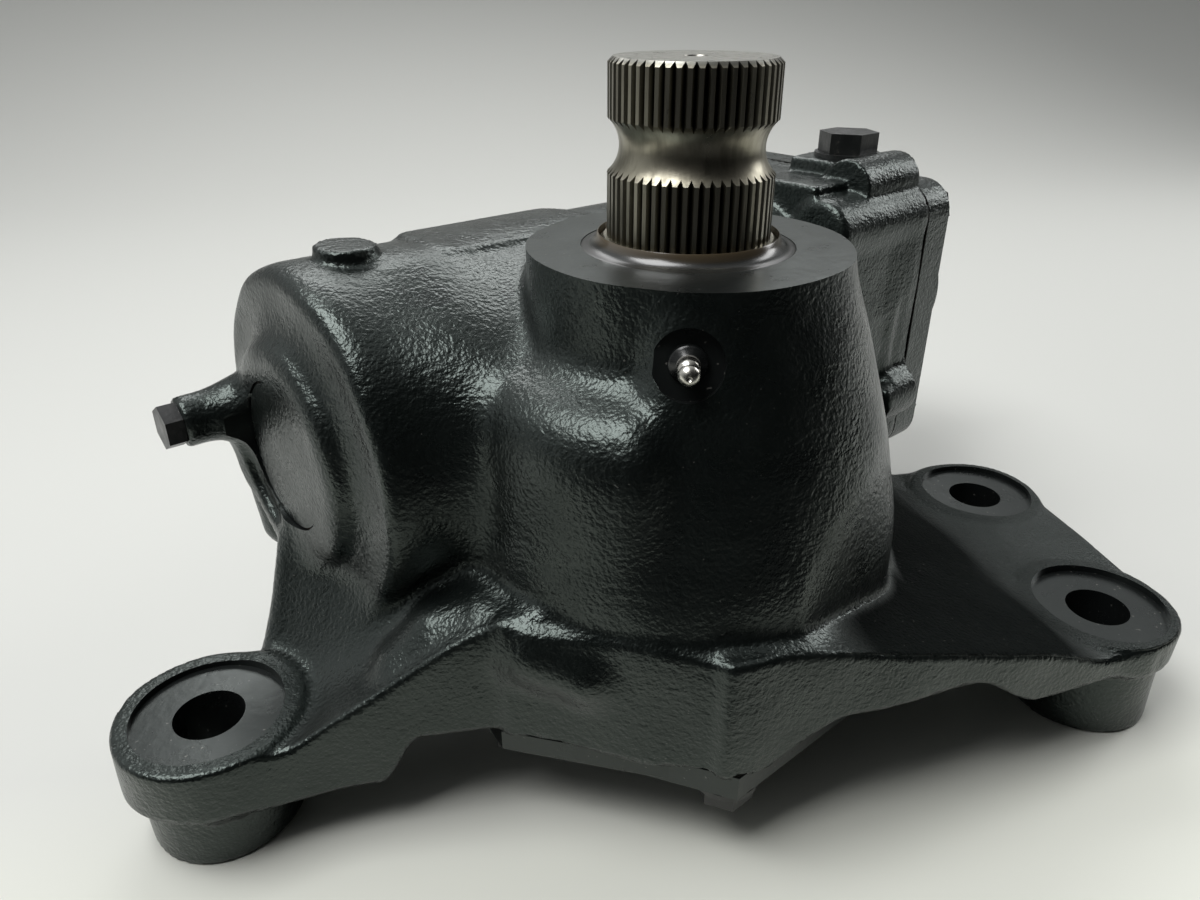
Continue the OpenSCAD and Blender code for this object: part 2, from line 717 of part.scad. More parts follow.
function involute(a) = tan(a) * 180 / PI - a;
function half_angle(r) =
    (pitch - backlash) / 4 / pitch_r * 180 / PI + involute(pressure_angle)
    - (r > base_r ? involute(acos(base_r / r)) : 0);
function flank(k, side, radii) = [for (r = radii)
    let (a = k * tooth_step + side * half_angle(r)) [r * sin(a), r * cos(a)]];
radii_up = [root_r, for (i = [0 : 6]) base_r + (tip_r - base_r) * i / 6];
radii_down = [for (i = [6 : -1 : 0]) base_r + (tip_r - base_r) * i / 6, root_r];

// Sector outline: involute teeth on the cylinder side of the shaft
module sector_outline() {
    last = (sector_teeth - 1) / 2;
    polygon([[0, 0], for (k = [-last : last]) each concat(flank(k, -1, radii_up), flank(k, 1, radii_down))]);
    circle(r = sector_hub_r);
}

// Ring of V-shaped serrations with flat lands
module serration_outline(d, n, depth) {
    step = 360 / n;
    land = 0.2 * step;
    polygon([for (i = [0 : n - 1]) each [
        d / 2 * [cos(i * step - land), sin(i * step - land)],
        d / 2 * [cos(i * step + land), sin(i * step + land)],
        (d / 2 - depth) * [cos((i + 0.5) * step), sin((i + 0.5) * step)]
    ]]);
}

module sector_shaft() {
    neck = trunnion_h + 3;
    low_band = trunnion_h + band_rise;
    shaft_top = low_band + 2 * band_h + waist_h + shaft_chamfer;
    waist_sag = (serration_d - waist_d) / 2;
    waist_arc = (pow(waist_h / 2, 2) + pow(waist_sag, 2)) / 2 / waist_sag;
    color("#8d8a83") placed() difference() {
        union() {
            translate([0, 0, shaft_bottom]) eased_bar(lower_journal_d / 2, axis_h - shaft_bottom, 1.5);
            translate([0, 0, axis_h - face_w / 2]) linear_extrude(height = face_w) sector_outline();
            translate([0, 0, axis_h]) eased_bar(journal_d / 2, neck - axis_h, 1.5);
            intersection() {
                translate([0, 0, neck - 2]) linear_extrude(height = shaft_top - neck + 2)
                    serration_outline(serration_d, serration_n, serration_depth);
                translate([0, 0, neck - 2]) rotate_extrude() polygon([
                    [0, 0], [serration_d / 2 + 1, 0],
                    [serration_d / 2 + 1, shaft_top - neck + 1 - shaft_chamfer],
                    [serration_d / 2 - shaft_chamfer, shaft_top - neck + 2], [0, shaft_top - neck + 2]
                ]);
            }
        }
        translate([0, 0, low_band + band_h + waist_h / 2]) rotate_extrude()
            translate([waist_d / 2 + waist_arc, 0]) circle(r = waist_arc);
        translate([0, 0, shaft_top - 5]) cylinder(r1 = 0.5, r2 = 3.6, h = 5 + eps);
        translate([0, 0, shaft_bottom - 1]) cylinder(r = adjuster_head_r + run_fit, h = 8);
    }
}

// Spaces between the rack teeth, and the relief in front of the tooth tips
module rack_spaces() {
    last = (sector_teeth - 1) / 2;
    flare = tan(pressure_angle);
    half = (pitch + backlash) / 4;
    translate([-rack_half, rack_tip_y - bore_d]) square([2 * rack_half, bore_d]);
    for (k = [-last : last]) translate([k * pitch, 0]) polygon([
        [-half - (gear_module + 1) * flare, rack_tip_y - 1],
        [half + (gear_module + 1) * flare, rack_tip_y - 1],
        [half - (rack_root_y - pitch_r) * flare, rack_root_y],
        [-half + (rack_root_y - pitch_r) * flare, rack_root_y]
    ]);
}

module rack_piston() {
    color("#77797b") placed() difference() {
        on_axis(-piston_left) eased_bar(piston_r, piston_left + piston_right, 1.5);
        translate([0, 0, axis_h - bore_d]) linear_extrude(height = 2 * bore_d) rack_spaces();
        on_axis(worm_cavity_left) cylinder(r = nut_bore_r, h = piston_right - worm_cavity_left + 1);
        on_axis(circuit_x - 5) cylinder(r = track_r, h = worm_lead + 10);
        on_axis(-piston_left + 3) ring(bore_d, piston_r - 4, 4.5);
        on_axis(circuit_x - 6) translate([-6, track_r - 4, 0]) cube([12, bore_d, worm_lead + 12]);
    }
}

module piston_ring() {
    color("#3b3a36") placed() on_axis(-piston_left + 3) ring(piston_r, piston_r - 4, 4.5);
}

// One turn of balls in the groove of the worm
module recirculating_balls() {
    count = floor(2 * PI * ball_circle_r / (2 * ball_r + 0.3));
    color("#b4b6b8") placed() on_axis(circuit_x) for (i = [0 : count - 1])
        rotate([0, 0, 90 + i * 360 / count])
            translate([ball_circle_r, 0, i * worm_lead / count]) sphere(r = ball_r, $fn = 32);
}

// Tube that takes the balls from one end of their turn back to the other
module ball_return_guide() {
    tube_r = 4.6;
    top = 34;
    color("#8f8c84") placed() on_axis(circuit_x) {
        for (z = [0, worm_lead]) translate([0, track_r, z]) rotate([-90, 0, 0])
            cylinder(r = tube_r, h = top - track_r);
        translate([0, top, -tube_r]) cylinder(r = tube_r, h = worm_lead + 2 * tube_r);
        translate([-tube_r, top, -tube_r - 1]) cube([2 * tube_r, 8, worm_lead + 2 * tube_r + 2]);
    }
}

// Cross-section of the worm: a round bar with the ball groove seen end on
function worm_radius(a) =
    let (off = worm_lead * (a > 180 ? a - 360 : a) / 360)
    abs(off) < groove_r ? min(worm_r, ball_circle_r - sqrt(groove_r * groove_r - off * off)) : worm_r;

module worm_shaft() {
    turns = worm_thread_l / worm_lead;
    start = 90 - 360 * (circuit_x - worm_left) / worm_lead;
    color("#8b8d8f") placed() difference() {
        union() {
            on_axis(worm_left) rotate([0, 0, start])
                linear_extrude(
                    height = worm_thread_l, twist = -360 * turns, slices = round(turns * 14), $fn = 20)
                    polygon([for (a = [0 : 18 : 342]) worm_radius(a) * [cos(a), sin(a)]]);
            on_axis(worm_left + worm_thread_l - 1)
                cylinder(r = worm_r + 0.3, h = spigot_left - worm_left - worm_thread_l + 2);
            on_axis(spigot_left) cylinder(r = worm_journal_r, h = worm_bearing_l + 1);
            on_axis(worm_shoulder) cylinder(r = sleeve_r - 2, h = sleeve_left - worm_shoulder);
        }
        on_axis(spigot_left) cylinder(r = bar_r, h = bar_seat_l);
    }
}

module valve_sleeve() {
    color("#a3a5a7") placed() difference() {
        on_axis(sleeve_left) ring(sleeve_r, stub_r + run_fit, sleeve_l);
        for (x = [0.25, 0.5, 0.75]) on_axis(sleeve_left + sleeve_l * x - 2)
            ring(sleeve_r + 5, sleeve_r - 2, 4);
    }
}

module torsion_bar() {
    color("#a8a08c") placed() on_axis(spigot_left)
        cylinder(r = bar_r, h = valve_end + input_out - 12 - spigot_left);
}

module input_shaft() {
    stub_left = sleeve_left + free_gap;
    neck_r = input_d / 2 + 1.5;
    tip = valve_end + input_out;
    color("#8d8a83") placed() difference() {
        union() {
            on_axis(stub_left) cylinder(r = stub_r, h = valve_end + 2 - stub_left);
            on_axis(valve_end + 1) cylinder(r = neck_r, h = 15);
            on_axis(valve_end + 15) linear_extrude(height = input_out - 16) serration_outline(input_d, 36, 1);
            on_axis(tip - 1.5) cylinder(r1 = input_d / 2 - 1, r2 = input_d / 2 - 2.5, h = 1.5);
        }
        on_axis(stub_left - 1) cylinder(r = bar_r + run_fit, h = tip - 11.5 - stub_left + 1);
        on_axis(valve_end + 24) rotate_extrude() translate([input_d / 2 + 2.5, 0]) circle(r = 4.5);
    }
}

gear_housing();
end_cover();
end_retaining_ring();
stop_screw();
side_cover();
side_cover_gasket();
side_cover_bolts();
adjuster_screw();
adjuster_lock_nut();
cover_bearing();
trunnion_bearing();
output_seal();
dust_seal();
grease_fitting();
port_plug();
valve_housing();
valve_housing_gasket();
valve_housing_bolts();
relief_plug();
worm_bearing();
input_bearing();
input_seal();
input_dust_cap();
sector_shaft();
rack_piston();
piston_ring();
recirculating_balls();
ball_return_guide();
worm_shaft();
valve_sleeve();
torsion_bar();
input_shaft();
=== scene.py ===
"""Looks of a hydraulic recirculating-ball steering gear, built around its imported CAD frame.

Shapes are in millimetres, with heights counted from the mounting plane, and `metres` takes them into the
frame: origin on the output shaft at its trunnion face, +Z along that shaft. Floor, lights and materials
are in the frame's metres.
"""

import bpy
import numpy as np
from mathutils import Euler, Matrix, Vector


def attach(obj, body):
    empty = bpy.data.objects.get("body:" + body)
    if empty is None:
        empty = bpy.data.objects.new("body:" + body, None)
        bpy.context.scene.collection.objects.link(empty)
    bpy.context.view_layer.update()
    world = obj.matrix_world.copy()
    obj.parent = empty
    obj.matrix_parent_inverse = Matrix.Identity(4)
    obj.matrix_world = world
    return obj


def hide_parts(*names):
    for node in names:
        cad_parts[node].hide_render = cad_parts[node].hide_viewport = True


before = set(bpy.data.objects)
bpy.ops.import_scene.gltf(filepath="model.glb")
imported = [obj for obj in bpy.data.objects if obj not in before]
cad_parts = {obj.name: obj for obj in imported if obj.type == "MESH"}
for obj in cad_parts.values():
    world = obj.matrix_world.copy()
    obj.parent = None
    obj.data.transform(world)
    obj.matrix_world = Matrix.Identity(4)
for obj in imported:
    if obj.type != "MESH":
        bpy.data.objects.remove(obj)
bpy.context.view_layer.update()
scene = bpy.context.scene

# Camera. The gear stands on its feet with the output shaft up, seen from the front and above by a short
# lens close to it, as a phone takes such a picture.
CAMERA_PLACE = (-0.0756, -0.2674, 0.0706)
CAMERA_DOWN, CAMERA_TURN = 27.26, -10.2
lens = bpy.data.cameras.new("camera")
lens.lens, lens.sensor_width, lens.clip_start = 27.0, 36.0, 0.01
camera = bpy.data.objects.new("camera", lens)
camera.location = CAMERA_PLACE
camera.rotation_euler = Euler((np.radians(90 - CAMERA_DOWN), 0, np.radians(CAMERA_TURN)))
scene.collection.objects.link(camera)
scene.camera = camera
scene.view_settings.view_transform = "Standard"

# Floor. A pale matt table that the feet stand on, turned up behind into a sweep. In front of the gear only
# the camera sees it pale, and the paint mirrors a dark ground there, so its upright walls stay black. There
# the table is also coloured paler than behind: painted light that lifts the gear's shadow on it.
TRUNNION_HEIGHT = 176.0
SWEEP_SIZE, SWEEP_START, SWEEP_RISE = 6.0, 0.9, 1.6
TABLE_DARK, TABLE_PALE, TABLE_PAINTED_LIGHT = (0.06, 0.06, 0.06), (0.64, 0.645, 0.615), (0.75, 0.76, 0.69)


def mesh_of(name, points, faces):
    """Mesh of points in metres, shape (count, 3), and of faces that list their numbers."""
    mesh = bpy.data.meshes.new(name)
    mesh.from_pydata(points.tolist(), [], faces)
    mesh.update()
    return mesh


def add_piece(name, mesh):
    """Object of a mesh, at the frame's origin."""
    piece = bpy.data.objects.new(name, mesh)
    scene.collection.objects.link(piece)
    return piece


def sheet_mesh(name, points, closed=False):
    """Smooth mesh of a grid of points, shape (rows, columns, 3): quads between neighbours, and where it is
    closed also from the last row and column back to the first."""
    index = np.arange(points.shape[0] * points.shape[1]).reshape(points.shape[:2])
    if closed:
        index = np.pad(index, ((0, 1), (0, 1)), mode="wrap")
    quads = np.stack([index[:-1, :-1], index[:-1, 1:], index[1:, 1:], index[1:, :-1]], -1).reshape(-1, 4)
    mesh = mesh_of(name, points.reshape(-1, 3), quads.tolist())
    mesh.polygons.foreach_set("use_smooth", [True] * len(mesh.polygons))
    return mesh


across = np.linspace(-SWEEP_SIZE / 2, SWEEP_SIZE / 2, 25)
along = np.linspace(SWEEP_SIZE / 2, -SWEEP_SIZE / 2, 61)
sweep_x, sweep_y = np.meshgrid(across, along, indexing="ij")
sweep_back = np.clip((sweep_y - SWEEP_START) / (SWEEP_SIZE / 2 - SWEEP_START), 0, 1)
sweep_z = SWEEP_RISE * sweep_back ** 2 - TRUNNION_HEIGHT / 1000
floor = add_piece("floor", sheet_mesh("floor", np.stack([sweep_x, sweep_y, sweep_z], -1)))


def start_material(name):
    """New node material, its shader and its Object coordinates."""
    material = bpy.data.materials.new(name)
    material.use_nodes = True
    nodes = material.node_tree.nodes
    return material, nodes["Principled BSDF"], nodes.new("ShaderNodeTexCoord").outputs["Object"]


def node_beside(socket, kind, operation=None):
    """New node in the tree that a socket belongs to."""
    node = socket.id_data.nodes.new(kind)
    if operation:
        node.operation = operation
    return node


def feed(value, socket):
    """Links an output to an input."""
    socket.id_data.links.new(value, socket)


def axes_of(vector):
    """The X, Y and Z outputs of a vector."""
    node = node_beside(vector, "ShaderNodeSeparateXYZ")
    feed(vector, node.inputs["Vector"])
    return node.outputs


def combine(operation, a, b):
    """Sum, product or greatest of two values."""
    node = node_beside(a, "ShaderNodeMath", operation)
    feed(a, node.inputs[0])
    feed(b, node.inputs[1])
    return node.outputs["Value"]


def spread(value, low, high, to_low, to_high):
    """Maps a value from one span to another, clamped."""
    node = node_beside(value, "ShaderNodeMapRange")
    for name, number in (("From Min", low), ("From Max", high), ("To Min", to_low), ("To Max", to_high)):
        node.inputs[name].default_value = number
    feed(value, node.inputs["Value"])
    return node.outputs["Result"]


def tint(amount, colour_a, colour_b):
    """Mixes two colours; either may be another node's output."""
    node = node_beside(amount, "ShaderNodeMix")
    node.data_type = "RGBA"
    feed(amount, node.inputs["Factor"])
    for socket, colour in ((node.inputs["A"], colour_a), (node.inputs["B"], colour_b)):
        if isinstance(colour, tuple):
            socket.default_value = (*colour, 1)
        else:
            feed(colour, socket)
    return node.outputs["Result"]


def camera_ray(socket):
    """1 for what the camera sees itself, 0 for what is mirrored or lit, in the tree of a socket."""
    return node_beside(socket, "ShaderNodeLightPath").outputs["Is Camera Ray"]


table_paint, shader, place = start_material("table_paint")
depth = axes_of(place)["Y"]
# From under the gear's front edge forward the table is coloured paler: painted light that lifts the gear's
# shadow there.
table_pale_with_painted_light = tint(spread(depth, -0.075, -0.01, 1, 0), TABLE_PALE, TABLE_PAINTED_LIGHT)
table_seen = combine("MAXIMUM", spread(depth, -0.2, -0.128, 0, 1), camera_ray(place))
feed(tint(table_seen, TABLE_DARK, table_pale_with_painted_light), shader.inputs["Base Color"])
shader.inputs["Roughness"].default_value = 0.5
floor.data.materials.append(table_paint)

# Light. A broad soft box overhead and to the left, weaker ones behind and at the right, and a room that is
# pale behind and above the gear but dim in front of it, so black paint keeps its depth. To the camera the
# room is one even grey.
ROOM_COLOUR, ROOM_SEEN = (0.93, 0.95, 0.95, 1), 0.5
ROOM_PALE_SIDE = (-0.35, 0.75, 0.45)


def along_axis(vector, axis):
    """Dot product of a vector with a fixed axis."""
    node = node_beside(vector, "ShaderNodeVectorMath", "DOT_PRODUCT")
    node.inputs[1].default_value = axis
    feed(vector, node.inputs[0])
    return node.outputs["Value"]


room = bpy.data.worlds.new("room")
room.use_nodes = True
background = room.node_tree.nodes["Background"]
sight = room.node_tree.nodes.new("ShaderNodeTexCoord").outputs["Generated"]
room_glow = node_beside(sight, "ShaderNodeMix")
feed(camera_ray(sight), room_glow.inputs["Factor"])
feed(spread(along_axis(sight, ROOM_PALE_SIDE), -0.15, 0.7, 0.012, 0.6), room_glow.inputs["A"])
room_glow.inputs["B"].default_value = ROOM_SEEN
background.inputs["Color"].default_value = ROOM_COLOUR
feed(room_glow.outputs["Result"], background.inputs["Strength"])
scene.world = room


def soft_box(name, place, target, size, power):
    """Rectangular lamp at a place, turned to a target."""
    lamp = bpy.data.lights.new(name, "AREA")
    lamp.shape, lamp.size, lamp.size_y, lamp.energy = "RECTANGLE", size[0], size[1], power
    holder = bpy.data.objects.new(name, lamp)
    holder.location = place
    holder.rotation_euler = (Vector(target) - Vector(place)).to_track_quat("-Z", "Y").to_euler()
    scene.collection.objects.link(holder)


soft_box("soft_box_top", (-0.62, -0.12, 1.2), (0, 0.05, -0.1), (0.9, 0.8), 17)
soft_box("soft_box_back", (0.1, 1.1, 0.9), (0, 0, -0.1), (1.4, 0.5), 8)
soft_box("soft_box_right", (1.25, 0.35, 0.6), (0, 0, -0.1), (0.4, 0.8), 5)

# Gear housing. One iron casting carries everything: the piston cylinder, the drum of the sector shaft with
# its trunnion, a six-cornered side-cover flange, the square valve flange and the arms with their feet. It
# is moulded as a field of distances whose bodies melt into each other with cast fillets, then machined.
FOOT_LEFT, FOOT_RIGHT, FOOT_FRONT, FOOT_PITCH = 160.0, 156.0, 32.0, 85.0
BACK_FOOT = (-80.0, 146.0)
FOOT_CENTRES = np.array([
    (-FOOT_LEFT, -FOOT_FRONT), (FOOT_RIGHT, -FOOT_FRONT), (FOOT_RIGHT, FOOT_PITCH - FOOT_FRONT), BACK_FOOT])
EAR_TOP, EAR_THICKNESS, EAR_RADIUS, FOOT_RADIUS = 41.5, 13.0, 27.0, 24.5
CYLINDER_TURN = np.radians(30.0)
CYLINDER_BEHIND, CYLINDER_HEIGHT, CYLINDER_RADIUS = 80.0, 106.0, 62.5
CLOSED_END, HUB_RADIUS = 108.0, 41.0
STOP_BEHIND, STOP_UP, STOP_RADIUS = 35.0, 6.0, 9.0
VALVE_JOINT, VALVE_DEPTH, VALVE_BOLT = 166.0, 54.0, 50.0
PLUG_ASIDE, PLUG_TOP = 29.0, 180.0
DRUM_RADIUS, TRUNNION_RADIUS, CONE_SLOPE = 74.0, 49.5, 0.335
FLANGE_RADIUS, FLANGE_TOP, COVER_JOINT = 84.0, 77.0, 36.0
TURN_COS, TURN_SIN = np.cos(CYLINDER_TURN), np.sin(CYLINDER_TURN)


def melt(a, b, k):
    """Smooth least of two distances: bodies join with a fillet about k wide."""
    mix = np.clip(0.5 + 0.5 * (b - a) / k, 0, 1)
    return b + (a - b) * mix - k * mix * (1 - mix)


def trim(a, b, k):
    """Smooth greatest of two distances: a body cut by another, its edge rounded over about k."""
    return -melt(-a, -b, k)


def ramp(value, low, high):
    """Soft step from 0 at low to 1 at high."""
    t = np.clip((value - low) / (high - low), 0, 1)
    return t * t * (3 - 2 * t)


def post(x, y, h, centre, radius, low, high, edge):
    """Upright round post with rounded rims."""
    side = np.hypot(x - centre[0], y - centre[1]) - radius
    return trim(trim(side, h - high, edge), low - h, edge)


def bar(along_bar, from_axis, radius, start, end, edge):
    """Round bar along an axis, from start to end, its rims rounded."""
    return trim(trim(from_axis - radius, along_bar - end, edge), start - along_bar, edge)


def rod(x, y, h, a, b, radius_a, radius_b):
    """Round-ended rod from point a to point b, its radius going from one end's to the other's."""
    a, b = np.array(a, float), np.array(b, float)
    d = b - a
    t = np.clip(((x - a[0]) * d[0] + (y - a[1]) * d[1] + (h - a[2]) * d[2]) / (d @ d), 0, 1)
    gap = np.sqrt((x - a[0] - t * d[0]) ** 2 + (y - a[1] - t * d[1]) ** 2 + (h - a[2] - t * d[2]) ** 2)
    return gap - (radius_a + (radius_b - radius_a) * t)


def wall(x, y, a, b):
    """Signed distance to the upright plane through plan points a and b, positive on the right of a to b."""
    d = np.array(b, float) - np.array(a, float)
    d /= np.hypot(*d)
    return (x - a[0]) * d[1] - (y - a[1]) * d[0]


def gear_place(gx, gy):
    """Plan point of a place given along the cylinder and from the shaft to the cylinder."""
    return gx * TURN_COS - gy * TURN_SIN, gx * TURN_SIN + gy * TURN_COS


def cylinder_body(gx, gy, h):
    """Piston cylinder: a bar with a rounded crest, less a ring-shaped moat round its end hub, with the
    hub's lip, the stop boss and its lug, the round boss on top and the long flat pad."""
    up, behind = h - CYLINDER_HEIGHT, gy - CYLINDER_BEHIND
    q = np.hypot(behind, up)
    crest = trim(trim(q - CYLINDER_RADIUS, -gx - (CLOSED_END - 3.0), 15), gx - 150, 1)
    body = melt(crest, bar(gx, q, HUB_RADIUS, -CLOSED_END, 0, 2.5), 5)
    moat = np.hypot(gx + CLOSED_END + 4.0, q - 50.0) - 11.0
    body = trim(body, -moat, 8)
    lip = trim(trim(bar(gx, q, HUB_RADIUS - 2.0, -CLOSED_END - 3.0, 0, 3), 31.5 - q, 2), 8 - behind, 6)
    body = melt(body, trim(lip, up - 2, 8), 2)
    stop = bar(gx, np.hypot(behind - STOP_BEHIND, up - STOP_UP), STOP_RADIUS, -CLOSED_END - 21, 0, 2)
    root = rod(gx, gy, h, (-106, 113, 112), (-101, 113, 112), 10, 16)
    body = melt(body, melt(stop, root, 9), 7)
    lug = rod(gx, gy, h, (-101, 116, 98), (-99, 114, 62), 10, 9)
    body = melt(body, lug, 6)
    boss_place = (-0.7 * CLOSED_END, CYLINDER_BEHIND)
    round_boss = post(gx, gy, h, boss_place, 10.4, 120, CYLINDER_HEIGHT + 66.6, 1.4)
    body = melt(body, round_boss, 2.5)
    pad = trim(trim(np.abs(gx + 13) - 33, np.abs(gy - 84) - 18, 6), h - 167.2, 2)
    pad = trim(pad, 120 - h, 2)
    return melt(body, pad, 5)


def valve_flange(gx, gy, h):
    """Square flange of the valve housing, flared towards the joint, with its corner bosses, low lug, plug
    pad, half-round boss and a shallow dent in front."""
    up, behind = h - CYLINDER_HEIGHT, gy - CYLINDER_BEHIND
    flare = 1.6 * np.clip((gx - VALVE_JOINT + 24) / 18, 0, 1)
    square = np.hypot(np.maximum(np.abs(behind) - VALVE_BOLT, 0), np.maximum(np.abs(up) - VALVE_BOLT, 0))
    body = trim(trim(square - 12.4 - flare, gx - VALVE_JOINT, 0.5), VALVE_JOINT - VALVE_DEPTH - gx, 5)
    for side in (-VALVE_BOLT, VALVE_BOLT):
        for level in (-VALVE_BOLT, VALVE_BOLT):
            from_bolt = np.hypot(behind - side, up - level)
            body = melt(body, bar(gx, from_bolt, 14.0, VALVE_JOINT - VALVE_DEPTH - 6, VALVE_JOINT, 4), 2)
    low_lug = bar(gx, np.hypot(gy - 19, h - 76), 12.5, VALVE_JOINT - 24, VALVE_JOINT, 2)
    body = melt(body, low_lug, 4)
    pad_y = CYLINDER_BEHIND - PLUG_ASIDE
    pad = trim(trim(np.abs(gx - 149) - 17, np.abs(gy - pad_y) - 18, 3), h - PLUG_TOP, 1.6)
    tail = trim(trim(np.abs(gx - 136) - 28, np.abs(gy - pad_y) - 17, 3), h - PLUG_TOP + 6, 1.6)
    pad = trim(melt(pad, tail, 2), 140 - h, 2)
    half_round = bar(gx, np.hypot(gy - pad_y + 16, h - PLUG_TOP + 9), 12, 129, VALVE_JOINT, 1.2)
    body = melt(melt(body, pad, 3), half_round, 2)
    recess = trim(trim(gy - 18.4, np.abs(h - 100) - 16, 4), np.abs(gx - 140) - 8, 4)
    return trim(body, -recess, 3)


def drum_body(x, y, gx, gy, h):
    """Sector drum: a shouldered drum and trunnion, filled to a cone on the right, with the haunch beside it,
    the lobe and ridge of the saddle behind it, and a flat cut into its right front."""
    r = np.hypot(x, y)
    trunnion = trim(r - TRUNNION_RADIUS - 0.3, h - TRUNNION_HEIGHT - 2, 0.5)
    drum = trim(r - DRUM_RADIUS + 1, h - 146.5, 24)
    toward_cone = x * np.cos(np.radians(-20)) + y * np.sin(np.radians(-20))
    body = melt(trunnion, trim(drum, toward_cone - 4, 14), 11)
    cone = (r + CONE_SLOPE * (h - TRUNNION_HEIGHT) - TRUNNION_RADIUS) / 1.055
    cone = trim(trim(cone, r - DRUM_RADIUS, 12), h - TRUNNION_HEIGHT - 2, 0.5)
    body = melt(body, trim(cone, -toward_cone - 6, 12), 5)
    body = melt(body, trim(r - DRUM_RADIUS + 1, h - 112, 30), 4)
    haunch = rod(x, y, h, (50, 2, 60), (47, 6, 103), 31, 28)
    body = melt(body, haunch, 6)
    lobe = rod(gx, gy, h, (-44, 36, 58), (-48, 44, 114), 30, 32)
    upper_ridge = rod(gx, gy, h, (-56, 66, 151), (-61, 38, 134), 10, 15)
    lower_ridge = rod(gx, gy, h, (-61, 38, 134), (-64, 36, 114), 15, 17)
    body = melt(body, melt(lobe, melt(upper_ridge, lower_ridge, 8), 14), 14)
    flat_turn = np.radians(-54)
    flat = 69.5 - x * np.cos(flat_turn) - y * np.sin(flat_turn)
    flat = trim(trim(flat, h - 117 - 0.3 * (x - 40), 10), 18 - x, 6)
    return trim(trim(body, -flat, 2.5), COVER_JOINT - 3 - h, 1)


def above_web(x, y, rise):
    """Distance above the sloping top of the right web, from the rise over its upper end."""
    return (rise + 0.27 * (x - 19) + 0.0115 * (y + 77)) / 1.036


def cover_flange(x, y, h):
    """Six-cornered flange above the side-cover joint with a wedge in front, trimmed by the right web's wall
    and slope, and the rounded bead along its upper left edge."""
    apothem = FLANGE_RADIUS * np.cos(np.pi / 6)
    edge = np.full_like(x, -1e3)
    for turn in np.radians(np.arange(-120, 240, 60)):
        edge = trim(edge, x * np.cos(turn) + y * np.sin(turn) - apothem, 1.5)
    front = trim(wall(x, y, (-70, -51.2), (0, -82)), wall(x, y, (0, -82), (0, -40)), 3)
    front = trim(trim(front, wall(x, y, (0, -40), (-60, 0)), 2), -x - 66, 2)
    edge = trim(melt(edge, front, 1.5), wall(x, y, (0, -81.2), (100, -69.1)), 2)
    plate = trim(trim(edge, h - FLANGE_TOP, 2.4), COVER_JOINT - h, 0.5)
    plate = trim(plate, above_web(x, y, h - 74.5), 3)
    bead = np.full_like(x, 1e3)
    path = ((-96, -37, 54), (-84, -34, 63), (-72, -36, 67), (-56, -50, 67), (-42, -58, 63))
    for a, b in zip(path[:-1], path[1:]):
        bead = melt(bead, rod(x, y, h, a, b, 10, 10), 6)
    return melt(plate, bead, 6)


def left_arm(x, y, h):
    """Arm of the left foot: an upright front wall under a top that climbs, as a cone round the foot, to the
    flange and to the hub."""
    foot_x, foot_y = x - FOOT_CENTRES[0][0], y - FOOT_CENTRES[0][1]
    reach = np.hypot(foot_x, foot_y) - 33.5
    reach = 0.5 * (reach + np.sqrt(reach ** 2 + 9))
    steep = 0.66 + 1.1 * ramp(np.arctan2(foot_y, foot_x), np.radians(-8), np.radians(52))
    climb = trim(EAR_TOP - 1.0 + steep * reach - 79, 0 * x, -10) + 79
    under = 19 + 17 * ramp(x, -108, -94)
    front = melt(wall(x, y, (-170, -61), (-121, -51.4)), wall(x, y, (-121, -51.4), (-60, -51.2)), 4)
    slab = trim(trim(front, (h - climb) / np.hypot(1, steep), 2.4), under - h, 3)
    slab = trim(trim(slab, x + 48, 2), -x - 160, 2)
    return trim(trim(slab, wall(x, y, (-139, 23.6), (-151, -0.4)), 8), y - 24, 8)


def right_arm(x, y, h):
    """Arm of the right foot: a sloping web that steepens down to its pad, arched underneath."""
    strip = h - 48 + 0.5 * (x - 122) + 0.042 * (y + 61)
    under = 47 - 15 * ramp(x, 82, 112) - 13 * (1 - ramp(x, 2, 40))
    top = trim(above_web(x, y, h - 76.5), melt(strip / 1.12, h - EAR_TOP + 0.3, 3), 3)
    front = trim(wall(x, y, (0, -81), (100, -68.9)), wall(x, y, (100, -68.9), (160, -57.6)), 4)
    web = trim(trim(trim(top, h - FLANGE_TOP + 0.3, 3), front, 2.4), under - h, 2)
    web = trim(web, wall(x, y, (150, 78.6), (20, 72)), 4)
    return trim(trim(web, x - 158, 2), -x - 5, 3)


def foot_ears(x, y, h):
    """Ears and round feet. The right foot's two ears join into one long pad."""
    under = EAR_TOP - EAR_THICKNESS
    ears = post(x, y, h, FOOT_CENTRES[0], EAR_RADIUS + 1.8, under - 6, EAR_TOP + 0.6, 1.8)
    for centre in FOOT_CENTRES[1:3]:
        ears = melt(ears, post(x, y, h, centre, EAR_RADIUS, under, EAR_TOP + 0.7, 1.8), 2)
    pad = trim(np.abs(x - 152) - 28.5, np.abs(y - 10.5) - 44, 3)
    pad = trim(trim(pad, h - EAR_TOP, 2), under - h, 2)
    ears = melt(ears, pad, 3)
    ears = melt(ears, post(x, y, h, BACK_FOOT, EAR_RADIUS + 2, under, EAR_TOP, 2), 2)
    for centre in FOOT_CENTRES:
        ears = melt(ears, post(x, y, h, centre, FOOT_RADIUS, 0, EAR_TOP - 4, 2.0), 2)
    return ears


def back_arm(x, y, h):
    """Arm of the hidden back foot: a rod from under the cylinder to its ear, cut level above and below."""
    start = gear_place(0, CYLINDER_BEHIND)
    arm = rod(x, y, h, (start[0], start[1], 58), (BACK_FOOT[0], BACK_FOOT[1], 36), 25, 20)
    return trim(trim(arm, h - 90, 4), 28.5 - h, 3)


